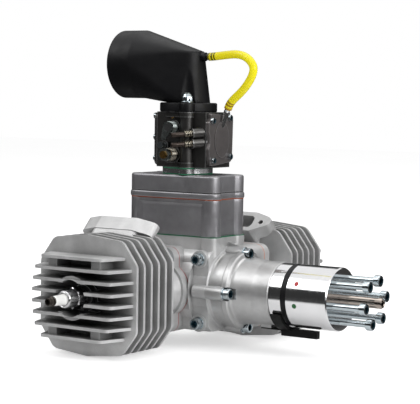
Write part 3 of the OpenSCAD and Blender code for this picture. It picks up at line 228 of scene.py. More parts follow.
def camera_sees(tree):
    """Light Path node, and a socket that is 1 for what the camera sees, through glass too."""
    path = node(tree, "ShaderNodeLightPath")
    return path, math_node(tree, "MAXIMUM", path.outputs["Is Camera Ray"],
                           path.outputs["Is Transmission Ray"])


def level(tree, axis):
    """Object coordinate along that axis, in metres."""
    source = node(tree, "ShaderNodeTexCoord").outputs["Object"]
    return node(tree, "ShaderNodeSeparateXYZ", Vector=source).outputs[axis]


def away_from(tree, place, scale=(1.0, 1.0, 1.0)):
    """Distance from a place in metres: the length of (point - place) times scale."""
    source = node(tree, "ShaderNodeTexCoord").outputs["Object"]
    shifted = node(tree, "ShaderNodeMapping", Scale=scale, Vector=source,
                   Location=tuple(-p * s for p, s in zip(place, scale))).outputs["Vector"]
    return node(tree, "ShaderNodeVectorMath", operation="LENGTH", Vector=shifted).outputs["Value"]


def hollow(tree, reach, inside=False):
    """Share of open sky round a point within reach: low in a recess, or at an edge if inside."""
    return node(tree, "ShaderNodeAmbientOcclusion", samples=5, inside=inside, only_local=False,
                Distance=reach).outputs["AO"]


def add_bump(tree, bsdf, *sources):
    """Chains bumps, one for each (height socket, strength, distance in metres)."""
    normal = None
    for height, strength, distance in sources:
        bump = node(tree, "ShaderNodeBump", Strength=strength, Distance=distance, Height=height)
        if normal:
            feed(tree, bump, Normal=normal)
        normal = bump.outputs["Normal"]
    feed(tree, bsdf, Normal=normal)


def shades(tree, colour, spread, source):
    """Colour that runs between colour less and plus spread, by source."""
    low = tuple(c * (1 - spread) for c in colour)
    high = tuple(min(1.0, c * (1 + spread)) for c in colour)
    return ramp(tree, source, (0.3, low), (0.7, high))


def cast_material(name, colour, rough=0.42, metal=0.5, pebble=1500.0, depth=0.00008, recess=0.5,
                  edge=0.25, dark_ring_x=None):
    """Cast metal: pebbled skin, tone blotches, painted shade in recesses, edges pale from wear and
    painted highlight.

    The last argument is the X of a plug: round its well, in a band of the head, the colour darkens
    nearly to black.
    """
    made, tree, bsdf = new_material(name, Metallic=metal, Roughness=rough)
    skin = grain(tree, pebble, 3.0, 0.6)
    blotch = grain(tree, 60.0, 4.0, 0.6)
    tone = shades(tree, colour, 0.13, blotch)
    # Painted shade: where little open sky is found within 11 mm, the colour runs by recess towards
    # 0.12 of itself
    deep = smooth_step(tree, hollow(tree, 0.011), 0.75, 0.1)
    tone = mixed(tree, product(tree, deep, recess), tone, tuple(c * 0.12 for c in colour))
    # Darker nearly to black in a band of the head round the plug's well
    if dark_ring_x is not None:
        ring = smooth_step(tree, away_from(tree, (dark_ring_x, 0.0, 0.0), (1.0, 0.0, 1.0)), 0.044, 0.014)
        outward = math_node(tree, "ABSOLUTE", level(tree, "Y"))
        band = product(tree, smooth_step(tree, outward, 0.0965, 0.1000),
                       smooth_step(tree, outward, 0.1245, 0.1130))
        tone = mixed(tree, product(tree, ring, band, 0.93), tone, PLUG_RING_DARK)
    # Paler edges: partly wear and partly a painted highlight where the edges catch the light
    edge_wear_and_highlight = smooth_step(tree, hollow(tree, 0.0009, inside=True), 0.93, 0.55)
    feed(tree, bsdf, Base_Color=mixed(tree, product(tree, edge_wear_and_highlight, edge), tone, EDGE_WEAR_AND_HIGHLIGHT),
         Roughness=ramp(tree, grain(tree, 220.0), (0.3, rough - 0.06), (0.75, rough + 0.08)))
    add_bump(tree, bsdf, (skin, 0.5, depth), (blotch, 0.35, 0.0006))
    return made


def turned_material(name, colour, rough):
    """Turned metal: fine grooves round the crank's axis."""
    made, tree, bsdf = new_material(name, Metallic=1.0, Roughness=rough)
    groove = grain(tree, 1500.0, 2.0, 0.5, stretch=(1.0, 0.02, 0.02))
    feed(tree, bsdf, Base_Color=shades(tree, colour, 0.03, grain(tree, 45.0)),
         Roughness=ramp(tree, groove, (0.3, rough * 0.75), (0.7, rough * 1.35)))
    add_bump(tree, bsdf, (groove, 0.05, 0.00001))
    return made


def plated_material(name, colour, rough=0.16, metal=1.0):
    """Plated steel: a faint drift of tone and of gloss."""
    made, tree, bsdf = new_material(name, Metallic=metal, Roughness=rough)
    feed(tree, bsdf, Base_Color=shades(tree, colour, 0.05, grain(tree, 90.0, 2.0)),
         Roughness=ramp(tree, grain(tree, 260.0, 2.0), (0.35, rough * 0.75), (0.7, rough * 1.35)))
    add_bump(tree, bsdf, (grain(tree, 300.0, 2.0), 0.02, 0.00001))
    return made


def moulded_material(name, colour, rough, depth=0.00002, spread=0.12, specular=0.5):
    """Moulded plastic, rubber or paper: even skin with a fine texture."""
    made, tree, bsdf = new_material(name, Roughness=rough, Specular_IOR_Level=specular)
    feed(tree, bsdf, Base_Color=shades(tree, colour, spread, grain(tree, 60.0)),
         Roughness=ramp(tree, grain(tree, 130.0), (0.3, rough - 0.05), (0.7, rough + 0.05)))
    add_bump(tree, bsdf, (grain(tree, 2500.0), 0.3, depth))
    return made


def split_material(name, low, high, axis, border):
    """Paper of two colours: low below the border on that axis, high above it."""
    made, tree, bsdf = new_material(name, Roughness=0.75)
    side = math_node(tree, "GREATER_THAN", level(tree, axis), border)
    feed(tree, bsdf, Base_Color=mixed(tree, side, low, high))
    add_bump(tree, bsdf, (grain(tree, 2500.0), 0.4, 0.00003))
    return made


def finish(name, material):
    """Gives a CAD node one material on all its slots."""
    thing = NODES[name]
    if not thing.material_slots:
        thing.data.materials.append(material)
    for slot in thing.material_slots:
        slot.link = "OBJECT"
        slot.material = material


def new_object(name, data):
    """An object of that data, in the scene."""
    thing = bpy.data.objects.new(name, data)
    bpy.context.scene.collection.objects.link(thing)
    return thing


def surface(name, grid, around=False, along=False, caps=(False, False), materials=(), bands=None,
            keep=None, sharp=38.0):
    """A mesh from grids of points, shape (rows, columns, 3) or (copies, rows, columns, 3).

    Quad (i, j) joins rows i, i+1 and columns j, j+1; around closes the columns, along the rows,
    and a cap closes the first or last row with one polygon. bands gives each row of quads its
    material, keep says which quads stay, and edges sharper than that angle stay crisp.
    """
    grid = np.asarray(grid, float)
    grid = grid[None] if grid.ndim == 3 else grid
    copies, rows, columns = grid.shape[:3]
    i = np.arange(rows if along else rows - 1)[:, None]
    j = np.arange(columns if around else columns - 1)[None, :]
    i2, j2 = (i + 1) % rows, (j + 1) % columns
    quads = np.stack(np.broadcast_arrays(i * columns + j, i * columns + j2, i2 * columns + j2,
                                         i2 * columns + j), axis=-1)
    bands = np.zeros(len(i), int) if bands is None else np.asarray(bands, int)
    paint = np.broadcast_to(bands[:, None], quads.shape[:2])
    stay = np.ones(quads.shape[:2], bool) if keep is None else keep
    quads, paint = quads[stay], paint[stay]
    step = (np.arange(copies) * rows * columns)[:, None, None]
    loops = [(quads[None] + step).ravel()]
    totals = [np.full(copies * len(quads), 4)]
    paints = [np.tile(paint, copies)]
    for wanted, ring, band in ((caps[0], np.arange(columns)[::-1], bands[0]),
                               (caps[1], (rows - 1) * columns + np.arange(columns), bands[-1])):
        if wanted:
            loops.append((ring[None] + step[:, 0]).ravel())
            totals.append(np.full(copies, columns))
            paints.append(np.full(copies, band))
    loops, totals, paints = (np.concatenate(part).astype(np.int32) for part in (loops, totals, paints))
    mesh = bpy.data.meshes.new(name)
    mesh.vertices.add(copies * rows * columns)
    mesh.vertices.foreach_set("co", np.ascontiguousarray(grid, np.float32).ravel())
    mesh.loops.add(len(loops))
    mesh.loops.foreach_set("vertex_index", loops)
    mesh.polygons.add(len(totals))
    mesh.polygons.foreach_set("loop_start", (np.cumsum(totals) - totals).astype(np.int32))
    mesh.polygons.foreach_set("loop_total", totals)
    mesh.polygons.foreach_set("use_smooth", np.ones(len(totals), bool))
    for material in materials:
        mesh.materials.append(material)
    mesh.polygons.foreach_set("material_index", paints)
    mesh.update(calc_edges=True)
    mesh.validate()
    mesh.set_sharp_from_angle(angle=math.radians(sharp))
    return new_object(name, mesh)


def xyz(x, y, z):
    """Points with these coordinates, each an array or a number."""
    return np.stack(np.broadcast_arrays(x, y, z), axis=-1)


def frames(path, fixed=None):
    """Two unit normals along a path of points, shape (n, 3).

    The tangent is the central difference; the first normal is a fixed vector with its part along
    the tangent taken away, and the second is the cross product of tangent and first normal.
    """
    tangent = np.gradient(path, axis=0)
    tangent /= np.linalg.norm(tangent, axis=1, keepdims=True)
    if fixed is None:
        fixed = np.eye(3)[int(np.argmin(path.max(0) - path.min(0)))]
    fixed = np.asarray(fixed, float)
    normal = fixed - (tangent @ fixed)[:, None] * tangent
    normal /= np.linalg.norm(normal, axis=1, keepdims=True)
    return normal, np.cross(tangent, normal)


def tube(path, radius, sides, fixed=None):
    """Circle of radius r carried along a path: p(s, a) = c(s) + r (cos a n(s) + sin a b(s))."""
    normal, side = frames(path, fixed)
    angle = np.linspace(0, TAU, sides, endpoint=False)[:, None]
    ring = np.cos(angle) * normal[:, None, :] + np.sin(angle) * side[:, None, :]
    return path[:, None, :] + radius * ring


def basis(axes):
    """For each axis w the unit vectors u, v, w: u is across a helper and w, v across w and u."""
    w = np.atleast_2d(np.asarray(axes, float))
    w = w / np.linalg.norm(w, axis=1, keepdims=True)
    helper = np.where(np.abs(w[:, 2:]) < 0.9, [[0.0, 0.0, 1.0]], [[1.0, 0.0, 0.0]])
    u = np.cross(helper, w)
    u /= np.linalg.norm(u, axis=1, keepdims=True)
    return np.stack([u, np.cross(w, u), w], axis=1)


def stood(grid, places, axes):
    """Copies of a grid drawn along +Z in millimetres, stood up: p = place + x u + y v + z w."""
    places = np.atleast_2d(np.asarray(places, float))
    turn = np.broadcast_to(basis(axes), (len(places), 3, 3))
    return (np.einsum("rck,nkd->nrcd", grid, turn) + places[:, None, None, :]) * MM


def turned(profile, sides=48):
    """Profile rows (height, radius, form) carried round +Z: p(h, a) = (r f cos a, r f sin a, h).

    f(a) is 1 on a plain row. Form 6 makes a hexagon whose flats lie r from the axis:
    f = 1 / cos((a + 30) mod 60 - 30). A larger form n makes n teeth: f = 1 + 0.025 cos(n a).
    """
    rows = np.array([(*row, 0)[:3] for row in profile], float)
    angle = np.linspace(0, TAU, sides, endpoint=False)[None]
    form = rows[:, 2:3]
    hexagon = 1 / np.cos(np.mod(angle + TAU / 12, TAU / 6) - TAU / 12)
    factor = np.where(form == 6, hexagon, np.where(form > 6, 1 + 0.025 * np.cos(form * angle), 1.0))
    radius = rows[:, 1:2] * factor
    return xyz(radius * np.cos(angle), radius * np.sin(angle), rows[:, :1])


def cap_screw(length, shank=2.5, head=4.25, high=5.0, flats=2.0, deep=2.6):
    """Rows of a socket cap screw with a knurled head, and each row's material."""
    rows = [(-length, shank * 0.5), (-length + 0.6, shank), (0, shank), (0, head - 0.25),
            (0.25, head), (0.6, head, 24), (high - 1.0, head, 24), (high - 0.7, head - 0.03),
            (high - 0.18, head - 0.12), (high, head - 0.5), (high, flats + 0.75),
            (high - 0.25, flats, 6), (high - deep, flats, 6), (high - deep - 0.1, flats * 0.6)]
    return rows, [0] * (len(rows) - 4) + [1] * 3


def helix(turns, radius, pitch):
    """Centre line of a coil along +Z: c(t) = (r cos t, r sin t, pitch t / 2 pi), 26 points a turn."""
    t = np.linspace(0, turns * TAU, int(turns * 26))
    return xyz(radius * np.cos(t), radius * np.sin(t), pitch * t / TAU)


def smooth_route(points, count):
    """Points evenly spaced along a smooth curve through the given ones.

    Each span is the cubic whose slope at either end is half the step between that end's neighbours.
    """
    points = np.asarray(points, float)
    ends = np.vstack([2 * points[0] - points[1], points, 2 * points[-1] - points[-2]])
    t = np.linspace(0, 1, 24, endpoint=False)[:, None]
    p0, p1, p2, p3 = (ends[k:len(ends) - 3 + k][:, None, :] for k in range(4))
    curve = 0.5 * (2 * p1 + (p2 - p0) * t + (2 * p0 - 5 * p1 + 4 * p2 - p3) * t ** 2
                   + (3 * p1 - p0 - 3 * p2 + p3) * t ** 3)
    curve = np.vstack([curve.reshape(-1, 3), points[-1:]])
    step = np.concatenate([[0], np.cumsum(np.linalg.norm(np.diff(curve, axis=0), axis=1))])
    even = np.linspace(0, step[-1], count)
    return np.stack([np.interp(even, step, curve[:, k]) for k in range(3)], axis=1)


def mark(thing, body, slot, *nodes):
    """Seats a piece on its body and hides the CAD nodes it stands for; slot is not used."""
    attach(thing, body)
    if nodes:
        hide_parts(*nodes)
    return thing


FINISH = {}


def screws(name, body, places, axes, rows, *nodes, shade="zinc"):
    """Like screws as one piece: plated outside, with painted shade in their sockets."""
    profile, bands = rows
    piece = surface(name, stood(turned(profile), places, axes), around=True, caps=(True, True),
                    materials=(FINISH[shade], FINISH["socket"]), bands=bands)
    return mark(piece, body, "zinc_screw", *nodes)


def lathe(name, body, slot, places, axes, profile, shade, *nodes, sides=48, closed=False):
    """A turned piece, or like ones; closed joins its last row to its first, as on a ring."""
    piece = surface(name, stood(turned(profile, sides), places, axes), around=True, along=closed,
                    caps=(not closed, not closed), materials=(FINISH[shade],))
    return mark(piece, body, slot, *nodes)


class ENGINE_OT_studio(bpy.types.Operator):
    """Floor, even world, three soft lights and the camera"""
    bl_idname = "engine.studio"
    bl_label = "Studio"

    def execute(self, context):
        s = context.scene.engine_studio
        azimuth, elevation, roll = s.azimuth, s.elevation, s.roll
        right = np.array([math.cos(azimuth), math.sin(azimuth), 0.0])
        ahead = np.array([-math.sin(azimuth) * math.cos(elevation),
                          math.cos(azimuth) * math.cos(elevation), -math.sin(elevation)])
        up = np.cross(right, ahead)
        turned_right = right * math.cos(roll) + up * math.sin(roll)
        turned_up = -right * math.sin(roll) + up * math.cos(roll)
        data = bpy.data.cameras.new("camera")
        data.lens = s.lens
        data.sensor_width = 36.0
        data.sensor_fit = "HORIZONTAL"
        data.clip_start, data.clip_end = 0.05, 50.0
        camera = new_object("camera", data)
        matrix = Matrix((turned_right, turned_up, -ahead)).transposed().to_4x4()
        matrix.translation = Vector(s.camera_place)
        camera.matrix_world = matrix
        context.scene.camera = camera

        floor_z = CAD_BOX[0][2] - 0.0005
        grid = np.array([[[x, y, floor_z] for x in (-4.0, 4.0)] for y in (-4.0, 4.0)])
        surface("floor", grid, materials=(floor_material(floor_z),))

        aim = np.array([-0.14, 0.0, 0.03])
        for name, power, place, size in (
                ("left_light", s.left, (-1.1, -1.0, 1.3), 1.0),
                ("right_light", s.right, (1.5, -0.35, 0.75), 1.1),
                ("top_light", s.top, (-0.1, 0.2, 1.5), 1.2)):
            light = bpy.data.lights.new(name, "AREA")
            light.energy = power
            light.size = size
            thing = new_object(name, light)
            away = Vector(aim - np.array(place))
            thing.location = place
            thing.rotation_euler = away.to_track_quat("-Z", "Y").to_euler()

        world = bpy.data.worlds.new("world")
        context.scene.world = world
        world.use_nodes = True
        tree = world.node_tree
        tree.nodes.clear()
        path, seen = camera_sees(tree)
        place = node(tree, "ShaderNodeTexCoord")
        axes = node(tree, "ShaderNodeSeparateXYZ", Vector=place.outputs["Generated"])
        high = smooth_step(tree, axes.outputs["Z"], 0.44, 0.56)
        right_side = smooth_step(tree, axes.outputs["X"], 0.55, 0.75)
        sky = math_node(tree, "MAXIMUM", high, product(tree, right_side, 0.55))
        glossy = node(tree, "ShaderNodeBackground", Strength=1.0,
                      Color=ramp(tree, sky, (0.0, 0.035), (1.0, 1.0)))
        even = node(tree, "ShaderNodeBackground", Color=WHITE, Strength=s.world)
        backdrop = node(tree, "ShaderNodeBackground", Color=WHITE, Strength=1.0)
        lit = mix_shader(tree, path.outputs["Is Glossy Ray"], even, glossy)
        both = mix_shader(tree, seen, lit, backdrop)
        node(tree, "ShaderNodeOutputWorld", Surface=both.outputs[0])
        context.scene.view_settings.view_transform = "Standard"
        return {"FINISHED"}


def floor_material(floor_z):
    """White floor that keeps the shadow; polished metal sees it white only near the engine."""
    made, tree, bsdf = new_material("floor", Roughness=0.9, Specular_IOR_Level=0.0)
    feed(tree, bsdf, Base_Color=ramp(tree, grain(tree, 3.0), (0.2, 0.93), (0.8, 0.96)))
    path, seen = camera_sees(tree)
    glow = node(tree, "ShaderNodeEmission", Color=WHITE, Strength=product(tree, seen, 0.5))
    bright = node(tree, "ShaderNodeAddShader")
    tree.links.new(bsdf.outputs["BSDF"], bright.inputs[0])
    tree.links.new(glow.outputs["Emission"], bright.inputs[1])
    far = smooth_step(tree, away_from(tree, (-0.11, 0.0, floor_z)), 0.15, 0.24)
    dark = node(tree, "ShaderNodeEmission", Color=WHITE, Strength=0.05)
    mix = mix_shader(tree, product(tree, far, path.outputs["Is Glossy Ray"]), bright, dark)
    feed(tree, tree.nodes["Material Output"], Surface=mix.outputs[0])
    return made


class ENGINE_OT_finishes(bpy.types.Operator):
    """Materials for every CAD node"""
    bl_idname = "engine.finishes"
    bl_label = "Finishes"

    def execute(self, context):
        s = context.scene.engine_finish
        cast, tower, carb = tuple(s.cast), tuple(s.tower), tuple(s.carb)
        FINISH.update(
            cast=cast_material("cast_metal", cast, metal=0.6, recess=0.6),
            housing=cast_material("housing_metal", tuple(c * 0.86 for c in cast), 0.36, 0.7,
                                  recess=0.6),
            near=cast_material("near_cylinder_cast", cast, recess=0.75, dark_ring_x=NEAR_X * MM),
            far=cast_material("far_cylinder_cast", cast, recess=0.75, dark_ring_x=FAR_X * MM),
            tower=cast_material("tower_metal", tower, 0.40, 0.75, 2400.0, 0.00003, 0.5, 0.3),
            plate=cast_material("plate_metal", tuple(c * 0.85 for c in tower), 0.38, 0.6, 2400.0,
                                0.00002, 0.5, 0.25),
            carb=cast_material("carburettor_metal", carb, 0.36, 0.85, 1500.0, 0.00001, 0.7, 0.3),
            cover=cast_material("cover_metal", (0.18, 0.165, 0.163), 0.36, 0.7, 1500.0, 0.00002,
                                0.5, 0.18),
            zinc=plated_material("zinc", tuple(s.zinc)),
            # Painted shade: the inside of each screw's socket is coloured a near-black blue
            socket=plated_material("painted_socket_shade", (0.03, 0.075, 0.10), 0.32, 0.9),
            steel=plated_material("ground_steel", (0.55, 0.55, 0.56), 0.2),
            bright=plated_material("bright_steel", (0.80, 0.80, 0.80), 0.12),
            spring=plated_material("spring_steel", (0.60, 0.55, 0.45), 0.26),
            dark_spring=plated_material("throttle_spring_steel", (0.42, 0.39, 0.33), 0.3),
            brown=plated_material("browned_steel", (0.36, 0.315, 0.28), 0.16),
            needle=plated_material("needle_steel", (0.045, 0.034, 0.028), 0.34, 0.7),
            lever=plated_material("lever_steel", (0.40, 0.44, 0.43), 0.3),
            hub=turned_material("polished_hub", (0.80, 0.80, 0.81), 0.11),
            machined=turned_material("machined_metal", (0.72, 0.72, 0.73), 0.2),
            brass=plated_material("brass", (0.52, 0.30, 0.09), 0.26),
            plastic=moulded_material("black_plastic", tuple(s.horn), 0.45, specular=0.26),
            strap=moulded_material("black_strap", (0.003, 0.003, 0.003), 0.5, specular=0.2),
            rubber=moulded_material("seal_rubber", (0.012, 0.012, 0.012), 0.55),
            reed=moulded_material("reed_plastic", (0.03, 0.03, 0.033), 0.45),
            glaze=moulded_material("glaze", (0.90, 0.90, 0.88), 0.14, depth=0.000003, spread=0.02),
            terminal=plated_material("terminal_steel", (0.06, 0.052, 0.045), 0.3, 0.85),
            green=moulded_material("green_paper", (0.010, 0.13, 0.060), 0.75),
            orange=split_material("reed_plate_paper", (0.30, 0.06, 0.015), (0.012, 0.012, 0.012),
                                  "Z", 0.0723),
            base=split_material("base_paper", (0.36, 0.012, 0.010), (0.62, 0.16, 0.03), "Y", 0.0),
            red_dot=moulded_material("red_dot", (0.42, 0.008, 0.010), 0.35),
            green_dot=moulded_material("green_dot", (0.006, 0.11, 0.02), 0.35),
        )
        groups = {
            "cast": "crankcase", "housing": "front_housing",
            "near": "near_cylinder", "far": "far_cylinder",
            "tower": "intake_box intake_cap", "plate": "reed_plate",
            "carb": "carb_body pump_cover", "cover": "metering_cover",
            "zinc": "housing_bolts case_screws cylinder_bolts tower_bolts carb_studs prop_bolts "
                    "idle_screw",
            "lever": "throttle_lever choke_lever",
            "steel": "main_bearings inner_races crankshaft_front center_web crankshaft_rear "
                     "near_wrist_pin near_conrod near_crankpin far_wrist_pin far_conrod "
                     "far_crankpin near_rings far_rings choke_shaft plug_shells",
            "bright": "carb_nipple", "brown": "prop_stud", "needle": "high_needle low_needle",
            "terminal": "plug_terminals", "spring": "carb_springs",
            "hub": "prop_hub timing_collar",
            "machined": "near_piston far_piston carb_spacer",
            "brass": "throttle_shaft throttle_plate choke_plate",
            "plastic": "velocity_stack hub_ring", "strap": "sensor_bracket hall_sensor",
            "rubber": "crank_seal", "reed": "reed_cages reed_petals", "glaze": "plug_insulators",
            "green": "paper_gaskets", "orange": "reed_plate_gaskets", "base": "base_gaskets",
        }
        for key, names in groups.items():
            for name in names.split():
                finish(name, FINISH[key])
        return {"FINISHED"}


TUBE_ROUTE = [
    (-121, 0, 179.7), (-115.5, -0.5, 180), (-108.5, -1.5, 180.6), (-101, -3, 181.2),
    (-93, -4.5, 181.4), (-85.5, -6, 180), (-79.5, -7, 176.6), (-76, -7.5, 171.8),
    (-76.5, -7.5, 166.4), (-80, -6.5, 161), (-85, -5, 155.8), (-90.5, -3.5, 151.4),
    (-96, -2, 147.6), (-100.8, -0.5, 143.6), (-103.4, 0.5, 139.8)]


class ENGINE_OT_vent_tube(bpy.types.Operator):
    """The clear yellow tube between the horn and the metering cover, and its lower barb"""
    bl_idname = "engine.vent_tube"
    bl_label = "Vent tube"

    def execute(self, context):
        route = smooth_route(np.array(TUBE_ROUTE) * MM, 96)
        outer, inner = (tube(route, radius * MM, 28) for radius in (TUBE_R, TUBE_BORE_R))
        wall = np.concatenate([outer, inner[::-1]])
        made, tree, bsdf = new_material(
            "clear_yellow", Roughness=0.12, IOR=1.36, Transmission_Weight=0.12)
        tone = shades(tree, tuple(context.scene.engine_finish.tube), 0.04, grain(tree, 25.0, 1.0))
        # Rings of tone by the distance from each end, like the barbs' ribs behind a clear wall
        rib_pitch, rib_end = 0.0023, 0.0085
        for end, colour, start in ((route[0], (0.015, 0.013, 0.004), 0.0),
                                   (route[-1], (0.30, 0.13, 0.01), 0.0016)):
            away = away_from(tree, tuple(end))
            rib = math_node(tree, "SINE", product(tree, away, TAU / rib_pitch))
            inside = product(tree, smooth_step(tree, away, rib_end, rib_end - 0.0006),
                             smooth_step(tree, away, start - 0.0003, start))
            share = product(tree, smooth_step(tree, rib, -1.4, 0.6), inside, 0.9)
            tone = mixed(tree, share, tone, colour)
        feed(tree, bsdf, Base_Color=tone)
        piece = surface("vent_tube_clear", wall, around=True, along=True, materials=(made,))
        mark(piece, "engine", "hose", "vent_tube")
        tail = route[-1] / MM
        along = (route[-3] - route[-1]) / np.linalg.norm(route[-3] - route[-1])
        rows = [(-0.6, 1.4), (-0.6, 2.2), (1.4, 1.85), (1.5, 2.25), (3.3, 1.85), (3.4, 2.2),
                (5.4, 1.75), (5.6, 1.1)]
        lathe("lower_barb", "engine", "brass", tail, along, rows, "brass", sides=32)
        return {"FINISHED"}


def horn_skin(mouth, foot, top, z_low, z_high, wall=0.0):
    """Skin drawn round a round mouth and an upright cone, as rows of closed sections.

    In each plane x the section's support h(b) is the largest of the cone's own and of every mix
    of the mouth's circle with a point of the cone that reaches that plane; the section's radius
    is r(a) = min over b of h(b) / cos(a - b), measured from its middle height. Below the ceiling
    each side is pressed in, so that it clears a round room about its stud.
    """
    x_mouth, x_back, never = MOUTH_X + 0.4, -181.0, -1e9
    directions, sides, cone_sides = 360, 144, 120
    b = np.linspace(0, TAU, directions, endpoint=False)
    cos_b, sin_b = np.cos(b), np.sin(b)
    straight = np.linspace(x_mouth, x_back, 6)[:-1]
    drawn = np.linspace(x_back, CARB_X - foot * 0.2, 44)
    rounded = CARB_X + foot * np.sin(np.linspace(math.asin(-0.2), math.pi / 2 - 0.06, 30))[1:]
    x = np.concatenate([straight, drawn, rounded])
    reach = np.maximum(x, x_back)
    circle = MOUTH_Z * sin_b + mouth
    phi = np.linspace(0, TAU, cone_sides, endpoint=False)
    points = np.concatenate([xyz(CARB_X + r * np.cos(phi), r * np.sin(phi), z)
                             for r, z in ((foot, z_low), (top, z_high))])
    share = (points[:, 0][None] - reach[:, None]) / (points[:, 0] - x_back)[None]
    able = (share >= 0) & (share <= 1)
    cone_side = points[:, 1:2] * cos_b + points[:, 2:3] * sin_b
    mixes = share[:, :, None] * circle + (1 - share[:, :, None]) * cone_side[None]
    support = np.where(able[:, :, None], mixes, never).max(1)
    z = np.linspace(z_low, z_high, 60)
    radius = foot + (top - foot) * (z - z_low) / (z_high - z_low)
    half = radius[None] ** 2 - (reach[:, None] - CARB_X) ** 2
    own = (np.sqrt(np.maximum(half, 0))[:, :, None] * np.abs(cos_b) + z[:, None] * sin_b)
    support = np.maximum(support, np.where(half[:, :, None] >= 0, own, never).max(1))
    middle = (support[:, directions // 4] - support[:, directions * 3 // 4]) / 2
    support = support - middle[:, None] * sin_b
    a = np.linspace(0, TAU, sides, endpoint=False)
    swing = np.cos(a[:, None] - b[None])
    ratio = np.where(swing > 0.05, 1 / np.maximum(swing, 0.05), np.inf)
    r = (np.maximum(support, 0.05)[:, None, :] * ratio[None]).min(-1)
    y, z = r * np.cos(a), middle[:, None] + r * np.sin(a)
    room, ceiling = 7.4 + wall, 177.9 + wall
    for sign in (1, -1):
        place = CARB_X + sign * STUD_AT[0]
        gap = room ** 2 - (x[:, None] - place) ** 2
        limit = abs(STUD_AT[1]) - np.sqrt(np.maximum(gap, 0))
        cut = (gap > 0) & (z < ceiling) & (y * -sign > limit)
        y = np.where(cut, -sign * limit, y)
    return xyz(x[:, None], y, z)


class ENGINE_OT_horn(bpy.types.Operator):
    """The velocity stack: a round mouth drawn down to a foot flange, with its barb"""
    bl_idname = "engine.horn"
    bl_label = "Velocity stack"

    def execute(self, context):
        black = FINISH["plastic"]
        outer = horn_skin(27.0, 17.0, 12.0, FOOT_TOP, 183.7)
        inner = horn_skin(25.0, 14.2, 9.4, FOOT_TOP + 0.05, 180.6, wall=2.0)
        lip = [inner[:1] * 0.75 + outer[:1] * 0.25, inner[:1] * 0.25 + outer[:1] * 0.75]
        lip[0][..., 0] = lip[1][..., 0] = MOUTH_X
        grid = np.concatenate([inner[::-1], *lip, outer])
        centre = (grid[:-1, :, :] + grid[1:, :, :]) / 2
        centre = (centre + np.roll(centre, -1, axis=1)) / 2
        in_bore = np.hypot(centre[..., 0] - CARB_X, centre[..., 1]) < 13.6
        keep = ~(in_bore & (centre[..., 2] < 145.2))
        skin = surface("velocity_stack_skin", grid * MM, around=True, caps=(True, True),
                       materials=(black,), keep=keep, sharp=50)
        mark(skin, "engine", "black_plastic", "velocity_stack")

        # Foot: a ring whose outline is the larger of a circle and two lobes round the studs
        foot_r, lobe_r = 22.5, 6
        angle = np.linspace(0, TAU, 192, endpoint=False)
        toward = np.arctan2(STUD_AT[1], STUD_AT[0])
        delta = np.mod(angle - toward + math.pi / 2, math.pi) - math.pi / 2
        reach = math.hypot(*STUD_AT)
        across = np.abs(reach * np.sin(delta))
        lobe = np.where(across < lobe_r, reach * np.cos(delta)
                        + np.sqrt(np.maximum(lobe_r ** 2 - across ** 2, 0)), 0)
        web = np.minimum(lobe_r / np.maximum(np.abs(np.sin(delta)), 1e-6), reach / np.cos(delta))
        outline = np.maximum(np.maximum(foot_r, lobe), np.where(web > foot_r, web, 0))
        bore = np.full_like(angle, 14.0)
        rows = [(bore, 136.75), (outline - 0.6, 136.75), (outline, 137.3), (outline, 142.8),
                (outline - 0.3, 143.5), (outline - 1.0, 143.88), (bore, 143.88)]
        ring = np.stack([xyz(CARB_X + r * np.cos(angle), r * np.sin(angle), z) for r, z in rows])
        foot = surface("velocity_stack_foot", ring * MM, around=True, along=True, materials=(black,))
        mark(foot, "engine", "black_plastic", "velocity_stack")

        rows = [(-4, 2.4), (-4, 3.4), (3.4, 3.4), (3.7, 3.0), (3.7, 2.3), (5.6, 1.85), (5.8, 2.3),
                (7.9, 1.85), (8.1, 2.3), (10.2, 1.8), (10.4, 1.3)]
        lathe("horn_barb", "engine", "black_plastic", BARB_AT, (1, 0, 0), rows, "plastic")
        return {"FINISHED"}


RING = np.linspace(0, TAU, 480, endpoint=False)
RING_COS, RING_SIN = (np.maximum(np.abs(part), 1e-9) for part in (np.cos(RING), np.sin(RING)))


def level_ring(r, z):
    """Level ring at height z, r(a) from the carburettor's axis."""
    return xyz(CARB_X + r * np.cos(RING), r * np.sin(RING), z)


def tower_ring(z, inset_x, inset_y, grow=0.0):
    """Level outline of the tower: r(a) is the farthest reach of four columns and two slabs.

    A column's reach along a ray is c.u + sqrt(r^2 - (c x u)^2), a slab's is the nearer of its
    half length over |cos a| and its half width over |sin a|.
    """
    long, wide = TOWER_X - COLUMN_R, TOWER_Y - COLUMN_R
    ends = np.minimum((TOWER_X - inset_x + grow) / RING_COS, wide / RING_SIN)
    faces = np.minimum(long / RING_COS, (TOWER_Y - inset_y + grow) / RING_SIN)
    off = (COLUMN_R + grow) ** 2 - (long * RING_SIN - wide * RING_COS) ** 2
    columns = long * RING_COS + wide * RING_SIN + np.sqrt(np.maximum(off, 0))
    return level_ring(np.maximum(np.maximum(ends, faces), np.where(off > 0, columns, 0)), z)


def room_ring(z):
    """Level outline of the air's way: the nearer of long / |cos a| and wide / |sin a|."""
    long, wide = 26.0, 14.0
    return level_ring(np.minimum(long / RING_COS, wide / RING_SIN), z)


